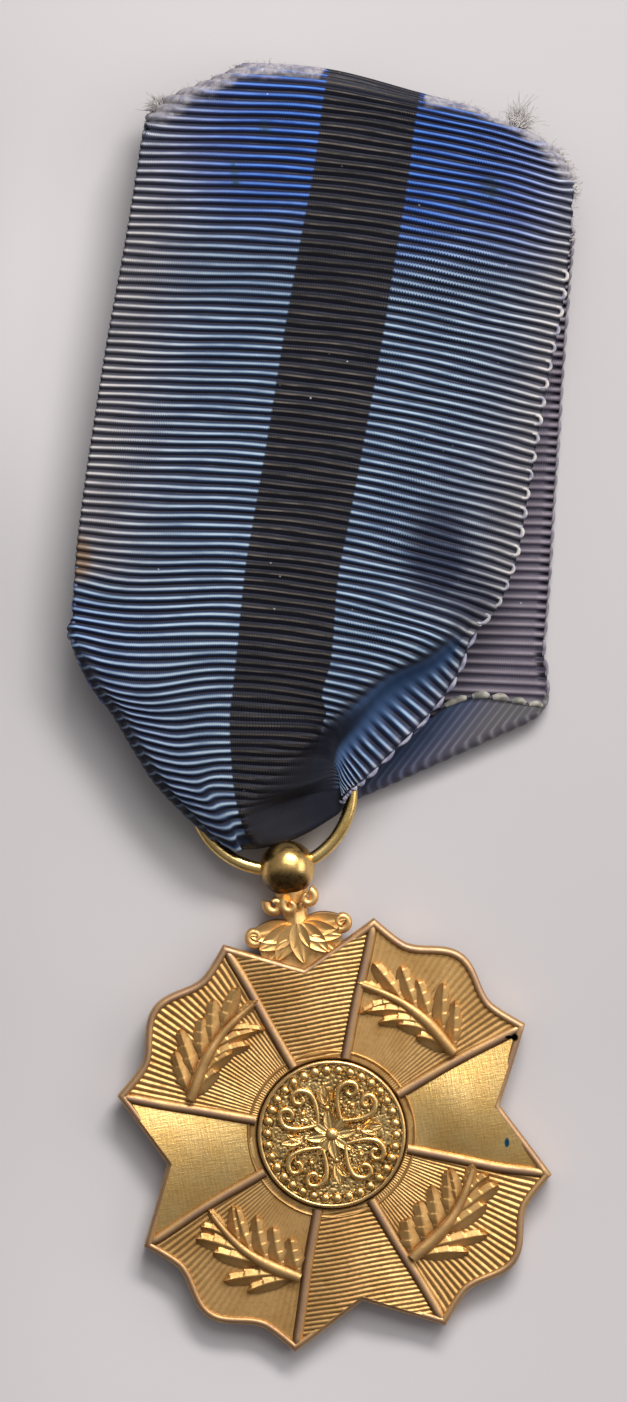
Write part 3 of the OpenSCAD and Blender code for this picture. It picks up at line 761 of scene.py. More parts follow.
def leaf(length, width, rise, curl, thick, rows, cols, sweep=0.0):
    """A hollowed leaf along +X with raised edges and a vein, widest beyond its middle."""
    s = np.linspace(0, 1, rows)[:, None]
    t = np.linspace(-1.12, 1.12, cols)[None, :]
    inner = np.clip(t, -1, 1)
    half = width / 2 * (np.sin(math.pi * s**0.85) ** 0.7 + 0.15 * (1 - s))
    dish = inner**2
    vein = np.exp(-((inner / 0.16) ** 2))
    swell = np.sin(math.pi * np.clip(s * 1.02, 0, 1)) ** 0.7
    z = rise * (0.35 + 0.85 * dish * swell + 0.3 * vein) + curl * s**3
    # Painted shade in the middle of the dish, none on the vein
    hollow = np.clip(0.7 * (1 - dish) - 0.6 * vein, 0, 1)
    return skirted(s, t, length * s, half, z, hollow, thick, 1.06, sweep)


FROND_LOBES = 4


def frond(length, width, raised, sweep=0.0):
    """A leaf along +X like a roof, its ridge nearer the left edge if raised is 1, the right if -1."""
    s = np.linspace(0, 1, 41)[:, None]
    t = np.linspace(-1.1, 1.1, 17)[None, :]
    inner = np.clip(t, -1, 1)
    climb = (1 + raised * inner) / 2
    lobed_side = np.clip(inner * raised, 0, 1)
    half = width / 2 * (0.42 + 0.78 * smoothstep(s, 0, 0.42)) * np.clip(1 - s**4, 0.006, 1) ** 0.5
    lobe = (FROND_LOBES * s + 0.35) % 1
    half = half * (1 + 0.3 * (lobe - 0.45) * lobed_side * smoothstep(s, 0, 0.2))
    x = length * (s + 0.03 * lobe * lobed_side * (s < 0.95))
    z = np.where(climb < 0.56, 0.03 + 0.37 * (climb / 0.56) ** 1.4, 0.4 - 0.24 * (climb - 0.56) / 0.44)
    z = z + 0.05 * (lobe - 0.5) * smoothstep(climb, 0.35, 0.7)
    z = z * (0.5 + 0.5 * smoothstep(s, 0, 0.3)) + 0.1 * s**3
    # Painted shade on the low side of the roof and near the leaf's foot
    hollow = 0.75 * np.clip(1 - climb / 0.55, 0, 1) + 0.25 * (1 - smoothstep(s, 0, 0.25))
    return skirted(s, t, x, half, z, hollow, 0.35, 1.05, sweep)


# Leaves of a spray: (place along the stem, length, width, spread)
FOUR_LEAVES = ((0.0, 3.8, 1.35, 46), (0.15, 4.0, 1.35, 40), (0.3, 4.0, 1.35, 34), (0.46, 4.1, 1.3, 29))
CENTRE_LEAVES = (
    (0.0, 3.4, 1.25, 18), (0.13, 4.1, 1.25, 21), (0.28, 4.1, 1.2, 25), (0.42, 4.3, 1.1, 29),
    (0.62, 2.8, 1.0, 36)
)
RIM_LEAVES = (
    (0.0, 3.9, 1.25, 39), (0.1, 4.8, 1.25, 31), (0.3, 4.9, 1.25, 25), (0.5, 4.6, 1.2, 21), (0.7, 3.0, 1.0, 22)
)
# Sprays: foot and tip of the stem as (x, y, x, y), then the leaves on its upper side and on its lower side
SPRAYS = (
    ((-5.0, -11.4, -11.4, -4.6), FOUR_LEAVES + ((0.6, 2.8, 1.2, 23),), RIM_LEAVES),
    ((-11.2, 5.2, -4.3, 12.3), FOUR_LEAVES + ((0.6, 4.5, 1.2, 23),), CENTRE_LEAVES),
)
STEM_BOW = 0.9


def laurels(parts):
    """Two sprays and their mirror images."""
    for spray, upper_leaves, lower_leaves in SPRAYS:
        foot, tip = np.array(spray[:2]), np.array(spray[2:])
        run = tip - foot
        length = np.linalg.norm(run)
        heading = math.degrees(math.atan2(run[1], run[0]))
        # The rim is on the left of the stem; that is the upper side on the two upper sprays
        upper_side = 1 if spray[1] > 0 else -1
        for side_of_cross in (1, -1):
            def put(points, angle=0.0, x=0.0, y=0.0):
                points = turned(points, angle) + [x, y, 0]
                points[..., 1] += STEM_BOW * np.sin(math.pi * np.clip(points[..., 0] / length, 0, 1))
                return (turned(points, heading) + [*foot, HALF_T]) * [side_of_cross, 1, 1]

            s = np.linspace(-0.2, length * 0.96, 30)
            stem = np.column_stack([s, 0 * s, 0.46 - 0.1 * s / length + 0.03 * np.sin(2 * s)])
            thick = 0.43 - 0.2 * np.clip(s / length, 0, 1) + 0.14 * np.exp(-((s / length - 0.25) ** 2) / 0.05)
            parts.tube(put(stem), thick, sides=12, worn=0.15, flat=0.75)
            for side, leaves in ((upper_side, upper_leaves), (-upper_side, lower_leaves)):
                curve, back = (0.4, 0) if side == upper_side else (0.75, 6)
                for i, (place, size, width, spread) in enumerate(leaves):
                    wild = math.sin(3.7 * i + 2 * side + heading)
                    sweep = side * (curve + 0.15 * wild)
                    points, hollow = frond(size * (1 + 0.05 * wild), width, upper_side, sweep)
                    points[..., 2] += 0.1 - 0.02 * i
                    turn = spread + 3 * wild - back
                    parts.grid(put(points, side * turn, place * length, side * 0.12), hollow=hollow)
            points, hollow = frond(2.6, 1.0, upper_side)
            parts.grid(put(points, 0, length - 2.5, 0), hollow=hollow)


# Leaves of the bracket: (x, y, length, width, heading, lift, drop to the tip, sweep)
BRACKET_LEAVES = (
    (0.0, 18.3, 3.5, 1.7, -92, 1.05, 0.55, 0.2), (-0.35, 18.2, 3.3, 1.7, -115, 0.95, 0.5, -0.5),
    (0.35, 18.2, 3.3, 1.7, -65, 0.95, 0.5, 0.5), (-0.4, 18.1, 3.4, 1.8, -143, 0.85, 0.4, -0.7),
    (0.4, 18.1, 3.4, 1.8, -37, 0.85, 0.4, 0.7), (-0.3, 18.0, 3.8, 1.9, -171, 0.7, 0.25, -0.5),
    (0.3, 18.0, 3.8, 1.9, -9, 0.7, 0.25, 0.5), (-0.6, 17.0, 3.0, 1.5, -152, 0.5, 0.25, 0.5),
    (0.6, 17.0, 3.0, 1.5, -28, 0.5, 0.25, -0.5),
)
# Curls below the ball and at the ends of the side leaves: (x, y, radius, first angle, turns, thickness, lift)
BRACKET_CURLS = (
    (-1.6, 20.15, 0.7, 150, 0.9, 0.4, 0.75), (-0.35, 19.9, 0.62, 120, 0.85, 0.38, 1.15),
    (1.25, 20.3, 0.66, 60, -0.9, 0.38, 0.85), (-3.75, 17.75, 0.66, -60, -1.1, 0.34, 0.5),
    (3.75, 17.75, 0.66, -120, 1.1, 0.34, 0.5),
)


# Outline of the web behind the leaves: (x, y), and the fluted neck below the ball: (radius, y)
BRACKET_WEB = np.array([
    (0, 13.6), (3.4, 15.9), (3.6, 17.3), (1.2, 18.4), (-1.2, 18.4), (-3.6, 17.3), (-3.4, 15.9)
])
NECK = np.array([
    (0.7, 16.2), (1.25, 17.2), (1.2, 18.0), (1.02, 18.7), (1.0, 19.4), (1.12, 20.0), (1.2, 20.5), (1.3, 20.9),
    (1.25, 21.3)
])
COLLAR_LEAF = 1.5


def bracket_leaves(parts):
    """Leaves and curls, on the front and on the back."""
    for x, y, length, width, heading, lift, drop, sweep in BRACKET_LEAVES:
        points, hollow = leaf(length, width, rise=0.34, curl=0.3, thick=0.8, rows=19, cols=13, sweep=sweep)
        points[..., 2] += lift - drop * points[..., 0] / length
        points = turned(points, heading) + [x, y, 0]
        for face in (1, -1):
            parts.grid(points * [1, 1, face], hollow=0.7 * hollow)
    for x, y, radius, first, turns, thick, lift in BRACKET_CURLS:
        turn = np.linspace(0, 1, 36)
        r = radius * (1 - 0.62 * turn)
        curl = polar(r, np.radians(first) + turns * 2 * math.pi * turn, lift + 0.25 * turn) + [x, y, 0]
        for face in (1, -1):
            parts.tube(curl * [1, 1, face], thick * (1.1 - 0.45 * turn), sides=10, worn=0.1)


def bracket_core(parts):
    """Web, fluted neck, and the collar of small leaves that curl outwards below the ball."""
    middle = BRACKET_WEB * 0 + BRACKET_WEB.mean(0)
    layers = ((middle, 0.5), (BRACKET_WEB, 0.5), (BRACKET_WEB, -0.5), (middle, -0.5))
    parts.grid(np.stack([at_height(outline, z) for outline, z in layers]), hollow=0.55, wrap_cols=True)
    steps = np.linspace(0, 2 * math.pi, 32, endpoint=False)[:, None]
    radius = NECK[:, 0] * (1 + 0.05 * np.cos(8 * steps))
    neck = np.stack([radius * np.cos(steps), NECK[:, 1] + 0 * steps, 0.85 * radius * np.sin(steps)], -1)
    parts.grid(neck, hollow=0.35, wrap_rows=True)
    for i in range(8):
        points, hollow = leaf(COLLAR_LEAF, 1.2, rise=0.16, curl=0.0, thick=0.1, rows=13, cols=9)
        s = points[..., 0] / COLLAR_LEAF
        out = 0.8 + points[..., 2] + 0.35 * s + 0.45 * s**3
        points = np.stack([points[..., 1] * (1 + 0.3 * s), 19.2 + 1.3 * s - 0.45 * s**4, out], -1)
        parts.grid(turned(points, 45 * i + 12, (2, 0)), hollow=0.7 * hollow)


def ball(parts):
    """The ball, with a painted dark reflection on the side turned down and to the left."""
    a = np.linspace(0.0, math.pi, 49)
    steps = np.linspace(0, 2 * math.pi, 96, endpoint=False)[:, None]
    radius = np.sin(a) + 1e-4
    out = np.stack([np.cos(a) + 0 * steps, radius * np.cos(steps), radius * np.sin(steps)], -1)
    dark_reflection = smoothstep(out @ np.array([-0.16, -0.8, 0.55]), 0.3, 0.75)
    parts.grid(out * BALL_D / 2 + [0, BALL_Y, 0], hollow=0.95 * dark_reflection, worn=0.12, wrap_rows=True)


def build_cross():
    plate, satin, sprigs, holder, knob = (Parts() for _ in range(5))
    quadrant_faces(plate)
    arm_faces(plate, satin)
    plate_edges(plate)
    plate_ridges(plate)
    plate.lathe(BAND_PROFILE[:, :2] + [0, HALF_T], 160, hollow=BAND_PROFILE[:, 2])
    laurels(sprigs)
    bracket_leaves(holder)
    bracket_core(holder)
    ball(knob)
    piece = plate.laid_piece("cross_plate", gilt, "gilt", sharp=50, weld=0.0004)
    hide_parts("badge")
    satin.laid_piece("side_arm_faces", satin_gilt, "gilt", sharp=50, weld=0.0004)
    sprigs.laid_piece("laurel_sprays", gilt, "gilt", sharp=60)
    holder.laid_piece("leaf_bracket", leaf_gilt, "gilt", sharp=60)
    knob.laid_piece("ball", polished_gilt, "gilt")


# Medallion
EDGE_TOP = GROUND_Z + 0.25
# Back, wall and edge wire of the disc: (radius, height, patina and painted shade, rubbing)
DISC_PROFILE = np.array([
    (0.01, 0.45, 1, 0), (6.1, 0.45, 1, 0), (6.26, 0.5, 1, 0), (6.28, EDGE_TOP - 0.15, 0.6, 0),
    (6.23, EDGE_TOP - 0.02, 0.1, 0.6), (6.09, EDGE_TOP + 0.04, 0, 0.8), (5.95, EDGE_TOP - 0.02, 0.4, 0.2),
    (5.88, GROUND_Z - 0.02, 1, 0),
])
# Leaves between the lyres: (length, width, turn, distance of the foot)
LYRE_LEAVES = ((1.9, 0.8, 0, 2.5), (1.4, 0.6, 28, 2.6), (1.4, 0.6, -28, 2.6))


def dome(radius, height, steps, first=0.0):
    """Profile of a low dome, up from its foot or from another angle in radians."""
    up = np.linspace(first, math.pi / 2, steps)
    return np.column_stack([radius * np.cos(up) + 1e-4, height * np.sin(up)])


def medallion_ground(scroll):
    """The grained ground, darker in its low grain and with painted shade round the scrolls, and its marks."""
    rows, cols = 72, 320
    r = np.linspace(0.02, 5.97, rows)[:, None]
    grain = rng.random((rows, cols))
    grain = (grain + 0.6 * np.roll(grain, 1, 1) + 0.6 * np.roll(grain, 1, 0)) / 2.2
    grain = (grain - grain.min()) / (grain.max() - grain.min())
    z = GROUND_Z - 0.07 + 0.17 * grain * np.clip(r / 1.5, 0.1, 1)
    ground = polar(r, np.linspace(0, 2 * math.pi, cols, endpoint=False), z)
    near = np.full((rows, cols), 9.0)
    for i in range(8):
        for point in turned(scroll * [1, 1 if i < 4 else -1], 90 * i + 45)[::2]:
            near = np.minimum(near, np.hypot(ground[..., 0] - point[0], ground[..., 1] - point[1]))
    # Painted shade on the ground round the scrolls
    scroll_shade = 0.5 * np.exp(-((near / 0.42) ** 2))
    return ground, np.clip(1.25 - 1.6 * grain + scroll_shade, 0, 1)


def medallion_ornament(parts, scroll, thick):
    """A small flower, and round it four lyres of two scrolls each with leaves between them."""
    for i in range(PETAL_N):
        points, hollow = leaf(1.75, 0.95, rise=0.28, curl=0.05, thick=0.1, rows=17, cols=13)
        parts.grid(turned(points + [0.4, 0, GROUND_Z + 0.04], i * 360 / PETAL_N), hollow=hollow)
    for spin in range(45, 405, 90):
        for side in (-1, 1):
            path = at_height(scroll * [1, side], GROUND_Z + 0.17)
            parts.tube(turned(path, spin), thick, sides=10, flat=1.1)
        for length, width, turn, foot in LYRE_LEAVES:
            points, hollow = leaf(length, width, rise=0.26, curl=0.05, thick=0.1, rows=15, cols=11)
            points = turned(points, turn) + [foot, 0, GROUND_Z + 0.02]
            parts.grid(turned(points, spin + 45), hollow=hollow)
        for r, size, turn in ((2.25, 0.26, 45), (3.0, 0.3, 0)):
            parts.lathe(dome(size, size, 8), 16, polar(r, math.radians(spin + turn), GROUND_Z + 0.05))
    # Painted shade round the foot of the flower's middle
    parts.lathe(dome(0.55, 0.42, 12), 40, (0, 0, GROUND_Z + 0.1), hollow=np.linspace(0.8, -1, 12).clip(0, 1))


def build_medallion():
    s = np.linspace(0, len(LYRE) - 1, 90)
    scroll = curve_through(s, np.arange(len(LYRE)), LYRE)
    thick = lookup(s, ((0, 0.17), (3, 0.3), (5, 0.28), (9, 0.2)))
    disc, beads, rosette = (Parts() for _ in range(3))
    disc.lathe(DISC_PROFILE[:, :2], 192, hollow=DISC_PROFILE[:, 2], worn=DISC_PROFILE[:, 3])
    ground, hollow = medallion_ground(scroll)
    disc.grid(ground, hollow=hollow, wrap_cols=True)
    for i in range(BEAD_N):
        size = BEAD_D / 2 * (1 + 0.05 * math.sin(5.1 * i))
        place = polar(BEAD_RING_R, 2 * math.pi * i / BEAD_N, GROUND_Z)
        # Painted shade round each bead's foot
        beads.lathe(dome(size, size * 0.95, 10, -0.15), 18, place, hollow=np.linspace(1, -0.4, 10).clip(0, 1))
    medallion_ornament(rosette, scroll, thick)
    piece = disc.laid_piece("medallion_disc", aged_gilt, "aged_gilt", sharp=60)
    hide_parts("medallion")
    beads.laid_piece("medallion_beads", aged_gilt, "aged_gilt", sharp=70)
    rosette.laid_piece("medallion_rosette", aged_gilt, "aged_gilt", sharp=70)


# Ribbon
# Seven places along a rib of the front strand, from its left end:
# (rib, left, dent, stripe, middle, crest, valley, right)
FRONT_ROWS = (
    (0.0, (-14.7, 54.4), (-11.3, 54.3), (0.4, 53.6), (8.1, 51.6), (14.9, 49.9), (18.3, 48.9), (21.1, 48.0)),
    (3.0, (-14.7, 52.1), (-11.3, 51.9), (0.0, 51.3), (7.8, 49.9), (15.4, 48.2), (18.8, 47.2), (21.1, 46.6)),
    (10.0, (-15.5, 46.7), (-11.7, 46.6), (-0.7, 46.1), (7.2, 45.0), (15.8, 43.3), (19.0, 42.4), (21.1, 41.9)),
    (20.0, (-16.7, 39.2), (-13.0, 39.0), (-2.1, 38.5), (6.0, 37.5), (14.9, 35.6), (18.1, 34.9), (20.3, 34.4)),
    (30.0, (-18.1, 31.6), (-14.3, 31.4), (-3.4, 31.0), (4.8, 30.0), (13.7, 28.1), (16.8, 27.3), (18.8, 26.8)),
    (40.0, (-19.3, 24.2), (-15.5, 24.0), (-4.6, 23.5), (3.4, 22.4), (12.0, 20.5), (15.2, 19.7), (17.5, 19.1)),
    (50.0, (-20.4, 16.6), (-16.7, 16.3), (-5.9, 15.9), (2.0, 14.9), (10.5, 12.8), (13.8, 11.9), (15.9, 11.2)),
    (54.6, (-20.8, 13.1), (-17.4, 12.6), (-6.5, 12.4), (1.3, 11.4), (11.1, 9.0), (13.1, 8.4), (14.4, 8.0)),
    (56.9, (-20.9, 11.5), (-17.6, 10.9), (-6.7, 10.8), (1.1, 9.7), (11.0, 7.0), (12.1, 6.6), (12.9, 6.2)),
    (60.7, (-21.1, 8.6), (-17.9, 8.0), (-7.0, 7.9), (0.9, 6.9), (9.1, 4.7), (9.9, 3.8), (11.3, 2.5)),
    (64.8, (-21.3, 5.5), (-17.7, 4.7), (-7.3, 4.7), (0.6, 3.7), (5.2, 2.7), (6.2, 1.7), (9.0, -0.7)),
    (68.7, (-19.9, 2.3), (-16.8, 1.4), (-7.6, 1.9), (-0.1, 1.0), (2.4, 0.3), (3.4, -1.0), (6.1, -3.7)),
    (72.0, (-18.2, 0.1), (-15.1, -0.8), (-7.9, -0.7), (-0.1, -1.2), (0.6, -1.4), (1.5, -3.0), (3.9, -5.9)),
    (76.5, (-16.2, -3.2), (-13.4, -4.1), (-7.8, -4.1), (-5.0, -4.2), (-2.3, -4.2), (1.0, -4.9), (2.4, -7.1)),
    (79.9, (-14.5, -5.8), (-11.7, -6.8), (-7.6, -6.6), (-6.4, -6.7), (-5.2, -6.8), (1.2, -5.8), (2.0, -7.5)),
    (83.3, (-12.3, -8.1), (-9.8, -9.2), (-7.1, -9.1), (-6.6, -9.1), (-6.1, -8.9), (1.2, -7.0), (1.8, -7.8)),
    (86.4, (-9.2, -10.9), (-7.7, -11.8), (-6.1, -11.9), (-5.7, -11.9), (-5.1, -11.8), (0.8, -9.2),
     (1.8, -7.9)),
)
# Share of the strip's width at which the middle, the crest and the valley stand: (rib, share)
MIDDLE_AT = ((0, 0.605), (68.7, 0.605), (72, 0.59), (76.5, 0.48), (79.9, 0.43), (86.4, 0.42))
CREST_AT = (
    (0, 0.8), (50, 0.82), (54.6, 0.87), (56.9, 0.88), (60.7, 0.83), (64.8, 0.74), (68.7, 0.68), (72, 0.63),
    (76.5, 0.55), (79.9, 0.46), (83.3, 0.44), (86.4, 0.44)
)
VALLEY_AT = (
    (0, 0.9), (50, 0.92), (54.6, 0.94), (56.9, 0.94), (60.7, 0.92), (64.8, 0.88), (68.7, 0.85), (72, 0.8),
    (76.5, 0.8), (79.9, 0.78), (86.4, 0.75)
)
# Height of the middle of the cloth, and what is added to it at five of the places: (rib, height)
LEVEL = ((0, 5.75), (50, 5.75), (66, 5.7), (76, 5.5), (83, 5.1), (86.4, 4.6))
LEFT_Z = ((0, -0.2), (60, -0.3), (66, -0.6), (86.4, -0.6))
DENT_Z = ((0, 0), (54, 0), (60, -0.2), (66, -0.35), (74, -0.3), (82, 0), (87, 0))
CREST_Z = ((0, 0), (54, 0), (58, 0.1), (61, 0.35), (66, 0.5), (72, 0.4), (76, -0.6), (80, -0.3), (86.4, -0.6))
VALLEY_Z = (
    (0, -0.1), (54, -0.15), (57, -0.9), (61, -1.6), (65, -2.0), (72, -2.2), (77, -2.1), (83, -1.7),
    (86.4, -1.3)
)
RIGHT_Z = ((0, -0.3), (52, -0.3), (57, -0.9), (62, -1.2), (72, -1.3), (80, -1.3), (86.4, -1.2))
# Columns of the mesh between neighbouring places
FRONT_COLUMNS = (8, 9, 9, 9, 9, 12)
# Where the roll cuts the strip's corners: (rib, share of the width)
LEFT_CUT = ((-3, 0.235), (0, 0.19), (2, 0.125), (4, 0.035), (6, 0.0))
RIGHT_CUT = ((-3, 0.72), (0, 0.77), (1, 0.81), (2, 0.89), (3, 0.94), (5.3, 0.985), (7.4, 1.0))


def closed_sheet(middle, relief):
    """Both faces and the edges of the cloth round its middle surface. Relief is added on each face."""
    normal = np.cross(np.gradient(middle, axis=0), np.gradient(middle, axis=1))
    normal /= np.maximum(np.linalg.norm(normal, axis=-1, keepdims=True), 1e-9)
    if normal[..., 2].mean() < 0:
        normal = -normal
    rows, cols = middle.shape[:2]
    out = normal * (CLOTH_T / 2 + relief)[..., None]
    points = np.concatenate([(middle + out).reshape(-1, 3), (middle - out).reshape(-1, 3)])
    top = grid_faces(rows, cols)
    size = rows * cols
    index = np.arange(size).reshape(rows, cols)
    faces = [top[:, ::-1], top + size]
    for line in (index[:, 0], index[::-1, -1], index[0, ::-1], index[-1, :]):
        faces.append(np.stack([line[:-1], line[1:], line[1:] + size, line[:-1] + size], -1))
    return points, np.vstack(faces).tolist()


def make_strand(name, material, surface, relief, marks):
    """A closed strand of the ribbon, with the same marks on both faces."""
    points, faces = closed_sheet(surface, np.maximum(relief, -CLOTH_T / 2 + 0.04))
    both = {key: np.concatenate([m.ravel()] * 2) for key, m in marks.items()}
    return make_piece(name, points, faces, material, "corded_silk", **both)


def rib_profile(ribs):
    """Height from 0 between ribs to 1 on a rib's crest."""
    return 1 - np.abs(2 * (ribs - np.round(ribs))) ** 2.1


def rib_samples(first, last, places):
    """Numbers of the mesh's rows: the same places on each rib from first to last."""
    whole = np.arange(math.floor(first), math.ceil(last) + 1)[:, None] + np.array(places)
    whole = whole.ravel()
    return whole[(whole >= first) & (whole <= last)]


def corner_fall(z, across, cut, strength):
    """What is added to heights near a cut corner, so that it curves to the roll's middle height."""
    away = np.abs(across - cut[:, None]) * STRIP_W
    round_off = np.sqrt(1 - (1 - np.clip(away / CORNER_R, 0, 1)) ** 2)
    return (ROLL_Z - z) * (1 - round_off) * strength[:, None]


def front_grid(ribs, plan, left_cut, right_cut):
    """Points of the front strand through the places of the tables, and their shares of the width."""
    places = curve_through(plan, [row[0] for row in FRONT_ROWS], [row[1:] for row in FRONT_ROWS])
    level = lookup(plan, LEVEL)
    added = (LEFT_Z, DENT_Z, ((0, 0),), ((0, 0),), CREST_Z, VALLEY_Z, RIGHT_Z)
    heights = np.stack([level + lookup(plan, table) for table in added], -1)
    stands = (((0, 0),), ((0, 0.1),), ((0, STRIPE[0]),), MIDDLE_AT, CREST_AT, VALLEY_AT, ((0, 1),))
    shares = np.stack([lookup(plan, table) for table in stands], -1)
    rows, across = [], []
    for i in range(len(ribs)):
        stops = [
            np.linspace(*shares[i, k:k + 2], count, endpoint=False) for k, count in enumerate(FRONT_COLUMNS)
        ]
        v = np.append(np.concatenate(stops), 1.0)
        v = np.where(v < STRIPE[0], left_cut[i] + v * (1 - left_cut[i] / STRIPE[0]), v)
        right_part = (v - STRIPE[1]) / (1 - STRIPE[1])
        v = np.where(v > STRIPE[1], STRIPE[1] + right_part * (right_cut[i] - STRIPE[1]), v)
        rows.append(curve_through(v, shares[i], np.column_stack([places[i], heights[i]])))
        across.append(v)
    return np.array(rows), np.array(across)


def front_strip():
    """Middle surface of the front strand, from the top roll to below the ring's mouth."""
    ribs = rib_samples(FRONT_FROM, FRONT_TO, (-0.5, -0.41, -0.27, -0.09, 0.09, 0.27, 0.41))
    # Plan place along the strip: squeezed over the roll at the top, and folded back at the foot
    over = np.clip((ribs - FRONT_FROM) / (ROLL_IN - FRONT_FROM), 0, 1) * math.pi / 2
    plan = np.where(ribs < ROLL_IN, ROLL_IN * (1 - np.cos(over)), ribs)
    plan = np.where(ribs > FRONT_RIBS, 2 * FRONT_RIBS - ribs, plan)
    left_cut, right_cut = lookup(ribs, LEFT_CUT), lookup(ribs, RIGHT_CUT)
    surface, across = front_grid(ribs, plan, left_cut, right_cut)

    # The cloth's edges stand half its thickness inside the outline, and further where the edge turns under
    pull = lookup(ribs, ((0, 0.2), (61, 0.2), (67, 0.95), (84, 0.9), (87, 0.6)))
    for edge, inner, cut, inset_by in ((0, 6, left_cut, pull), (-1, -7, right_cut, 0 * pull + 0.22)):
        side = surface[:, inner] - surface[:, edge]
        side[:, 2] = 0
        side /= np.linalg.norm(side, axis=1, keepdims=True)
        near = smoothstep(np.abs(across - cut[:, None]), 0.1, 0.0)
        surface += side[:, None, :] * (near * inset_by[:, None])[..., None]

    z = surface[..., 2]
    for cut in (left_cut, right_cut):
        z += corner_fall(z, across, cut, smoothstep(ribs, 8.5, 4.5))
    # The roll itself
    z[:] = ROLL_Z + (z - ROLL_Z) * np.where(ribs < ROLL_IN, np.sin(over), 1.0)[:, None]
    # The foot turns under
    foot = np.clip((plan - FOOT_FROM) / (FRONT_RIBS - FOOT_FROM), 0, 1)[:, None]
    drop = np.sqrt(np.maximum(1 - foot**2.2, 0))
    upper = ROLL_Z + (z - ROLL_Z) * drop
    lower = ROLL_Z - (ROLL_Z - FOOT_Z) * drop
    z[:] = np.where((ribs > FRONT_RIBS)[:, None], lower, np.where(foot > 0, upper, z))
    edge_away = np.minimum(across - left_cut[:, None], right_cut[:, None] - across) * STRIP_W
    return ribs, surface, across, edge_away


def turned_over(part, bend_part, turn, tail, bend):
    """How far a turned edge goes out, and up or down, in its bend, and straight on after it."""
    angle = turn * np.clip(part / bend_part, 0, 1)
    straight = tail * np.clip((part - bend_part) / (1 - bend_part), 0, 1)
    return bend * np.sin(angle), bend * (1 - np.cos(angle)), straight


def left_tuck(ribs, surface, across, steps=7):
    """Adds the left edge that turns under near the ring, and a short lip above it."""
    turn = np.radians(lookup(ribs, ((0, 20), (62, 20), (67, 165), (84, 170), (86.4, 150), (91, 150))))
    tail = lookup(ribs, ((0, 0.1), (62, 0.1), (67, 1.6), (82, 1.8), (86.4, 0.5), (91, 0.5)))
    bend = lookup(ribs, ((0, 0.15), (62, 0.2), (67, 0.6), (86.4, 0.6), (91, 0.5)))
    swing = np.radians(lookup(ribs, ((0, 0), (62, 0), (67, 32), (86.4, 40), (91, 40))))
    edge = surface[:, 0]
    out = edge - surface[:, 4]
    out[:, 2] = 0
    out /= np.linalg.norm(out, axis=1, keepdims=True)
    c, s = np.cos(swing), np.sin(swing)
    out = np.column_stack([out[:, 0] * c - out[:, 1] * s, out[:, 0] * s + out[:, 1] * c, 0 * c])
    extra = []
    for k in range(steps, 0, -1):
        reach, fall, straight = turned_over(k / steps, 0.6, turn, tail, bend)
        moved = edge + out * (reach + straight * np.cos(turn))[:, None]
        moved[:, 2] = np.maximum(moved[:, 2] - (fall + straight * np.sin(turn)), 0.5)
        extra.append(moved)
    shares = -0.002 * np.arange(steps, 0, -1) + 0 * ribs[:, None]
    return np.concatenate([np.stack(extra, 1), surface], 1), np.concatenate([shares, across], 1)


def front_marks(ribs, across, edge_away):
    """Marks that steer the colours of the front strand."""
    n, v = ribs[:, None], across
    crest_at, valley_at = lookup(n, CREST_AT), lookup(n, VALLEY_AT)
    waver = 1.5 * np.sin(7 * v + 1) + 0.8 * np.sin(19 * v)
    off_stripe = np.abs(v - (STRIPE[0] + STRIPE[1]) / 2) - (STRIPE[1] - STRIPE[0]) / 2
    fold = smoothstep(n, 57, 60) * smoothstep(n, 80, 75)
    reach = valley_at + 0.4 * (1 - valley_at)
    smooth_band = fold * smoothstep(v, crest_at - 0.012, crest_at + 0.012)
    smooth_band = smooth_band * smoothstep(v, reach + 0.03, reach - 0.05)
    crease = smoothstep(n, 55, 60) * smoothstep(n, 84, 80) * np.exp(-(((v - crest_at) / 0.02) ** 2))
    inside = smoothstep(n, 66, 72) * smoothstep(v, crest_at - 0.005, crest_at + 0.02)
    inside = inside * smoothstep(v, valley_at + 0.04, valley_at - 0.03)
    under = smoothstep(n, 81, 84) * smoothstep(v, 0.40, 0.44)
    under = np.maximum(under, smoothstep(n, 84, 86.4) * smoothstep(v, 0.22, 0.34))
    tucked = 0.8 * smoothstep(n, 63, 67) * np.exp(-((np.maximum(v, 0) / 0.018) ** 2))
    fade = np.exp(-((np.maximum(v, 0) / 0.15) ** 2)) + np.exp(-((np.maximum(1 - v, 0) / 0.16) ** 2))
    bleach = smoothstep(n + 0.5 * waver, 60, 57) * fade * (0.6 + 0.3 * smoothstep(n, 8, 20))
    hem = 0.45 * smoothstep(v, 0.965, 0.995) * smoothstep(n, 56, 60)
    roll = smoothstep(n + 0.5 * waver, 3.0, -2.0) * smoothstep(off_stripe, 0.0, 0.02)
    corner = np.exp(-((edge_away / 3.3) ** 2)) * smoothstep(n, 8.5, 5)
    navy = smoothstep(n, 58, 62) * smoothstep(v, 0.3, 0.0) + 0.5 * smoothstep(n, 60, 66) * (v > valley_at)
    return {
        "deep": smoothstep(n + waver, 22, 12) * smoothstep(np.abs(v - 0.5), 0.56, 0.32),
        "navy": np.clip(navy, 0, 1),
        "bleach": np.clip(bleach + hem, 0, 1),
        "plain": smooth_band,
        "fray": np.clip(np.maximum(roll, corner), 0, 1),
        "shade": np.clip(np.maximum.reduce([0.85 * crease, 0.96 * inside, 0.96 * under, tucked]), 0, 1),
        "even": np.clip(np.maximum.reduce([smooth_band, inside, under]), 0, 1),
    }


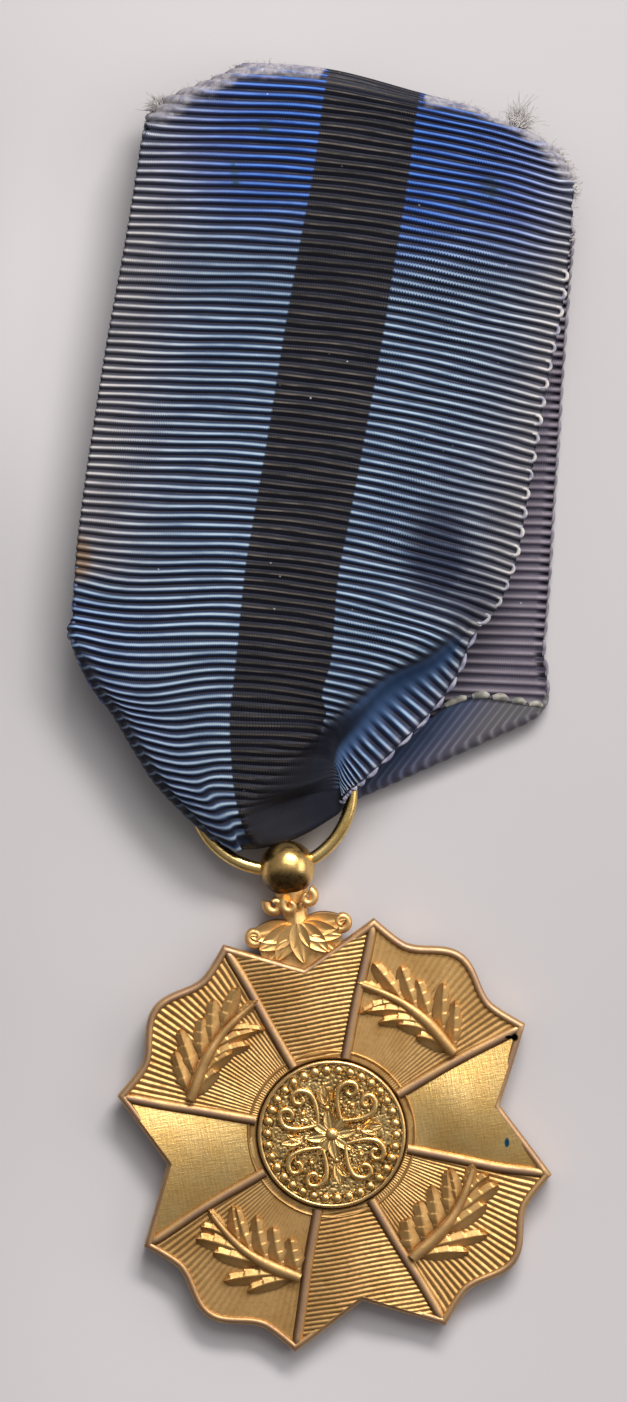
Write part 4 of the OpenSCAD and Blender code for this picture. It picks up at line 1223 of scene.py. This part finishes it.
def build_front():
    ribs, surface, across, edge_away = front_strip()
    marks = front_marks(ribs, across, edge_away)
    surface, across = left_tuck(ribs, surface, across)
    extra = surface.shape[1] - edge_away.shape[1]
    marks = {key: np.concatenate([np.repeat(m[:, :1], extra, 1), m], 1) for key, m in marks.items()}
    marks["shade"][:, :extra] = np.maximum(marks["shade"][:, :extra], np.linspace(0.8, 0.1, extra))
    # The right edge goes in and out with every second rib
    n = ribs[:, None]
    scallop = 0.16 * (0.5 + 0.5 * np.cos(math.pi * (n - 0.5)))
    end = np.clip((across - 0.985) / 0.015, 0, 1)
    side = surface[:, -1:] - surface[:, -6:-5]
    side /= np.linalg.norm(side, axis=-1, keepdims=True)
    surface = surface + side * (end * scallop)[..., None]
    ribs_here = n + 0.05 * np.sin(9 * across + n * 0.7) + 0.03 * np.sin(31 * across + n)
    height = rib_profile(ribs_here) * (1 + 0.08 * np.sin(ribs_here * 2.1 + 11 * across))
    marks["even"] = 0.92 * marks["even"]
    flat = np.maximum(1.05 * marks["even"], 0.75 * smoothstep(n, 62, 67) * smoothstep(across, 0.035, 0.0))
    marks["rib"], marks["across"] = ribs_here, across
    relief = RIB_H * (height * (1 - flat) - 0.35)
    piece = make_strand("ribbon_front", silk_front, surface, relief, marks)
    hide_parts("ribbon")
    return ribs, surface


# Back strand: (rib from the foot, left x, left y, right x, right y, height)
BACK_ROWS = (
    (0, -8.0, -11.2, 0.4, -8.3, 0.75), (2, -8.4, -9.8, 1.8, -7.5, 0.62), (5, -10.6, -7.2, 4.8, -6.2, 0.6),
    (9, -14.0, -4.0, 10.0, -3.9, 0.6), (12, -16.6, -1.5, 14.2, -2.0, 0.6), (15, -18.4, 0.9, 17.8, -0.25, 0.6),
    (22, -18.5, 6.2, 18.6, 5.4, 0.6), (36, -17.8, 16.8, 19.4, 16.4, 0.6), (54, -17.0, 30.3, 20.3, 30.0, 0.6),
    (68, -16.1, 40.9, 21.0, 40.4, 0.6), (76, -15.0, 46.9, 21.1, 45.9, 0.6),
    (80, -14.8, 49.9, 21.1, 48.8, 0.6), (84, -14.7, 52.9, 21.1, 51.8, 0.6),
    (86, -14.7, 54.3, 21.1, 53.2, 0.6)
)
# Folded corner: length of the part that is turned over the strand: (rib from the foot, length)
CORNER_TAIL = (
    (0, 0.3), (3, 3.4), (6, 7.6), (7.5, 7.2), (9, 6.1), (11, 4.1), (12.5, 2.6), (14, 1.3), (15.5, 0.3),
    (17, 0.1), (90, 0.1)
)
# Its turn in degrees, its bend's radius, and the direction in degrees in which it leaves the edge
CORNER_TURN = ((0, 150), (3, 178), (14, 178), (16, 120), (17.5, 10), (90, 10))
CORNER_BEND = ((0, 0.5), (15, 0.45), (17.5, 0.12), (90, 0.12))
CORNER_OUT = ((0, -62), (15, -62), (17.5, 0), (90, 0))
# Direction in degrees in which it lies on the strand, and its mesh columns
CORNER_LAY = 52
CORNER_STEPS = 16
# Where the roll cuts the back strand's corners: (rib from the foot, share of the width)
BACK_LEFT_CUT = ((74, 0.01), (77, 0.03), (80, 0.07), (82, 0.12), (84, 0.19), (86, 0.26), (89, 0.3))
BACK_RIGHT_CUT = ((72, 1), (76, 0.98), (80, 0.93), (82, 0.87), (84, 0.79), (86, 0.71), (89, 0.67))


def back_strip():
    """Middle surface of the back strand, from its foot to the roll."""
    ribs = rib_samples(BACK_FROM, BACK_TO, (-0.5, -0.34, -0.13, 0.13, 0.34))
    over = np.clip((ribs - BACK_ROLL) / (BACK_TO - BACK_ROLL), 0, 1) * math.pi / 2
    plan = np.where(ribs > BACK_ROLL, BACK_ROLL + ROLL_IN * np.sin(over), np.maximum(ribs, 0))
    table = np.array([row[1:] for row in BACK_ROWS])
    edges = curve_through(plan, [row[0] for row in BACK_ROWS], table)
    left_x, left_y, right_x, right_y, z = edges.T[..., None]
    left_cut, right_cut = lookup(plan, BACK_LEFT_CUT), lookup(plan, BACK_RIGHT_CUT)
    across = left_cut[:, None] + (right_cut - left_cut)[:, None] * np.linspace(0, 1, 41)
    x = left_x + (right_x - left_x) * across
    y = left_y + (right_y - left_y) * across + 0.15 * np.sin(math.pi * across)
    z = z + 0 * across
    # Towards the roll the strand takes the slant of the front strand's first rib
    slant = curve_through(across, [0, 0.1, *STRIPE, 0.8, 0.9, 1], FRONT_ROWS[0][1:])
    start, end = table[-1, :2], table[-1, 2:4]
    near = smoothstep(ribs, 58, 85)[:, None]
    x += near * (slant[..., 0] - (start[0] + (end[0] - start[0]) * across))
    y += near * (slant[..., 1] - (start[1] + (end[1] - start[1]) * across))
    for cut in (left_cut, right_cut):
        z += corner_fall(z, across, cut, smoothstep(ribs, 76, 81))
    z += (ROLL_Z - z) * (1 - np.cos(over))[:, None]
    return ribs, np.stack([x, y, z], -1), across


def corner_over(ribs, edge):
    """Columns of the lower right corner, which turns over towards the viewer."""
    turn = np.radians(lookup(ribs, CORNER_TURN))
    tail, bend = lookup(ribs, CORNER_TAIL), lookup(ribs, CORNER_BEND)
    out = polar(1, np.radians(lookup(ribs, CORNER_OUT)), 0)
    lay = polar(1, math.radians(CORNER_LAY), 0)
    extra = []
    for k in range(1, CORNER_STEPS + 1):
        reach, rise, straight = turned_over(k / CORNER_STEPS, 0.35, turn, tail, bend)
        moved = edge + out * reach[:, None] + lay * straight[:, None]
        moved[:, 2] += rise + 0.10 * straight
        extra.append(moved)
    return np.stack(extra, 1)


def build_back():
    ribs, surface, across = back_strip()
    surface = np.concatenate([surface, corner_over(ribs, surface[:, -1])], 1)
    n = ribs[:, None]
    folded = np.zeros(surface.shape[:2])
    folded[:, -CORNER_STEPS:] = np.linspace(0.3, 1, CORNER_STEPS).clip(0, 0.7) / 0.7 * smoothstep(n, 18, 16)
    across = np.concatenate([across, np.ones((len(ribs), CORNER_STEPS))], 1)
    ribs_here = n + 0.03 * np.sin(7 * across + n)
    relief = 0.16 * (rib_profile(ribs_here) * (1 - 0.8 * folded) - 0.35)
    tip = smoothstep(n, 5.5, 12)
    marks = {
        "across": across,
        # Over the folded corner the ribs lie closer together
        "rib": ribs_here * (1 + 0.25 * (folded > 0.2)),
        "even": 0.5 * folded,
        "navy": folded * (1 - tip),
        "bleach": folded * tip,
        "fray": 0 * across,
        "shade": 0.5 * smoothstep(n, 4, 0) + 0 * across,
    }
    piece = make_strand("ribbon_back", silk_back, surface, relief, marks)
    return ribs, surface


def loops_along(parts, path, first, count, radius, bulge, turned_back=False):
    """Cord loops that each join two ribs of an edge. Path gives a rib's end and the way outwards."""
    for k in range(count):
        start, out = path(first + 2 * k)
        end, _ = path(first + 2 * k + 1)
        s = np.linspace(0, 1, 11)[:, None]
        if turned_back:
            swing = (1 - np.cos(math.pi * s)) / 2
            along = start + (end - start) * swing + out * (0.55 * np.sin(math.pi * s) ** 0.6 - 0.4)
            arc = along + [0, 0, 0.34]
        else:
            along = start + (end - start) * (s * 1.5 - 0.25)
            arc = along + out * (bulge * np.sin(math.pi * s)) + [0, 0, 0.05]
        thick = radius * (0.75 + 0.35 * np.sin(math.pi * s[:, 0])) * (1 + 0.12 * math.sin(7.3 * k))
        arc[:, 2] = np.maximum(arc[:, 2], radius * 1.3)
        parts.tube(arc, thick, sides=7)


def build_selvedges(front_ribs, front, back_ribs, back):
    """Cord loops along the edges that show."""
    def edge_path(ribs, surface, column, inner):
        def path(rib):
            p, q = (
                np.array([np.interp(rib, ribs, surface[:, c, k]) for k in range(3)]) for c in (column, inner)
            )
            return p, (p - q) / np.linalg.norm(p - q)
        return path

    front_right = edge_path(front_ribs, front, -1, -5)
    front_left = edge_path(front_ribs, front, 5, 10)
    back_right = edge_path(back_ribs, back, -1, -5)
    # Name, thread, edge, first rib, number of loops, radius, bulge
    runs = (
        ("selvedge_front", pale_thread, front_right, 17, 20, 0.15, 0.0),
        ("selvedge_front_foot", lilac_thread, front_right, 57, 15, 0.16, 0.18),
        ("selvedge_front_left", navy_thread, front_left, 56, 8, 0.2, 0.1),
        ("selvedge_back", mauve_thread, back_right, 17, 29, 0.16, 0.1),
        ("selvedge_corner_foot", navy_thread, back_right, 0, 3, 0.26, 0.2),
        ("selvedge_corner", grey_thread, back_right, 6, 5, 0.3, 0.24),
    )
    for name, material, path, first, count, radius, bulge in runs:
        parts = Parts()
        loops_along(parts, path, first, count, radius, bulge, turned_back=name == "selvedge_front")
        parts.piece(name, material, "corded_silk")


# Corner edges of the roll with loose hairs: (first rib, last rib, column, number of hairs, length)
HAIR_EDGES = ((-2.5, 6, 7, 130, 0.7), (-2.5, 8, -1, 420, 0.8), (4, 14, -1, 60, 0.5), (4, 10, 7, 20, 0.5))
# Tufts: (x, y, spread, heading, number, length)
TUFTS = ((-13.7, 50.6, 0.55, 128, 190, 1.2), (16.3, 49.3, 0.7, 48, 260, 1.5))


def build_fray(ribs, surface):
    """Loose hairs along the two worn corners of the roll, and a tuft at each."""
    parts = Parts()

    def hair(start, heading, length):
        """One hair. Its length and its bend are drawn here, after what the caller draws."""
        size = length * (0.3 + 0.8 * rng.random())
        s = np.linspace(0, 1, 6)[:, None]
        bend = rng.normal(0, 0.5, 3) * size
        path = start + polar(1, math.radians(heading), -0.3) * size * s + bend * s**2 * 0.6
        path[:, 2] = np.maximum(path[:, 2], 0.3)
        parts.tube(path, 0.034 - 0.015 * s[:, 0], sides=4)

    for low, high, column, number, length in HAIR_EDGES:
        for _ in range(number):
            row = int(np.searchsorted(ribs, low + (high - low) * rng.random()))
            start = surface[row, column] + rng.normal(0, 0.12, 3)
            out = surface[row, column] - surface[row, 30]
            hair(start, math.degrees(math.atan2(out[1], out[0])) + rng.normal(0, 40), length)
    # Along the top line of the roll, away from the stripe
    columns = np.concatenate([np.arange(8, 26), np.arange(42, 62)])
    for _ in range(200):
        column = int(rng.choice(columns))
        row = int(rng.integers(2, 14))
        hair(surface[row, column] + rng.normal(0, 0.1, 3), 80 + rng.normal(0, 45), 0.55)
    for x, y, spread, heading, number, length in TUFTS:
        for _ in range(number):
            start = np.array([x, y, 4.0]) + rng.normal(0, spread * 0.5, 3)
            hair(start, heading + rng.normal(0, 35), length)
    parts.piece("frayed_threads", fray_thread, "corded_silk")


stage = bpy.context.scene
set_camera(stage)
set_floor()
set_lamps()
set_world(stage)
build_cross()
build_medallion()
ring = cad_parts["ring"]
ring.data.materials.clear()
ring.data.materials.append(ring_gilt)
back_ribs, back_surface = build_back()
front_ribs, front_surface = build_front()
build_selvedges(front_ribs, front_surface, back_ribs, back_surface)
build_fray(front_ribs, front_surface)
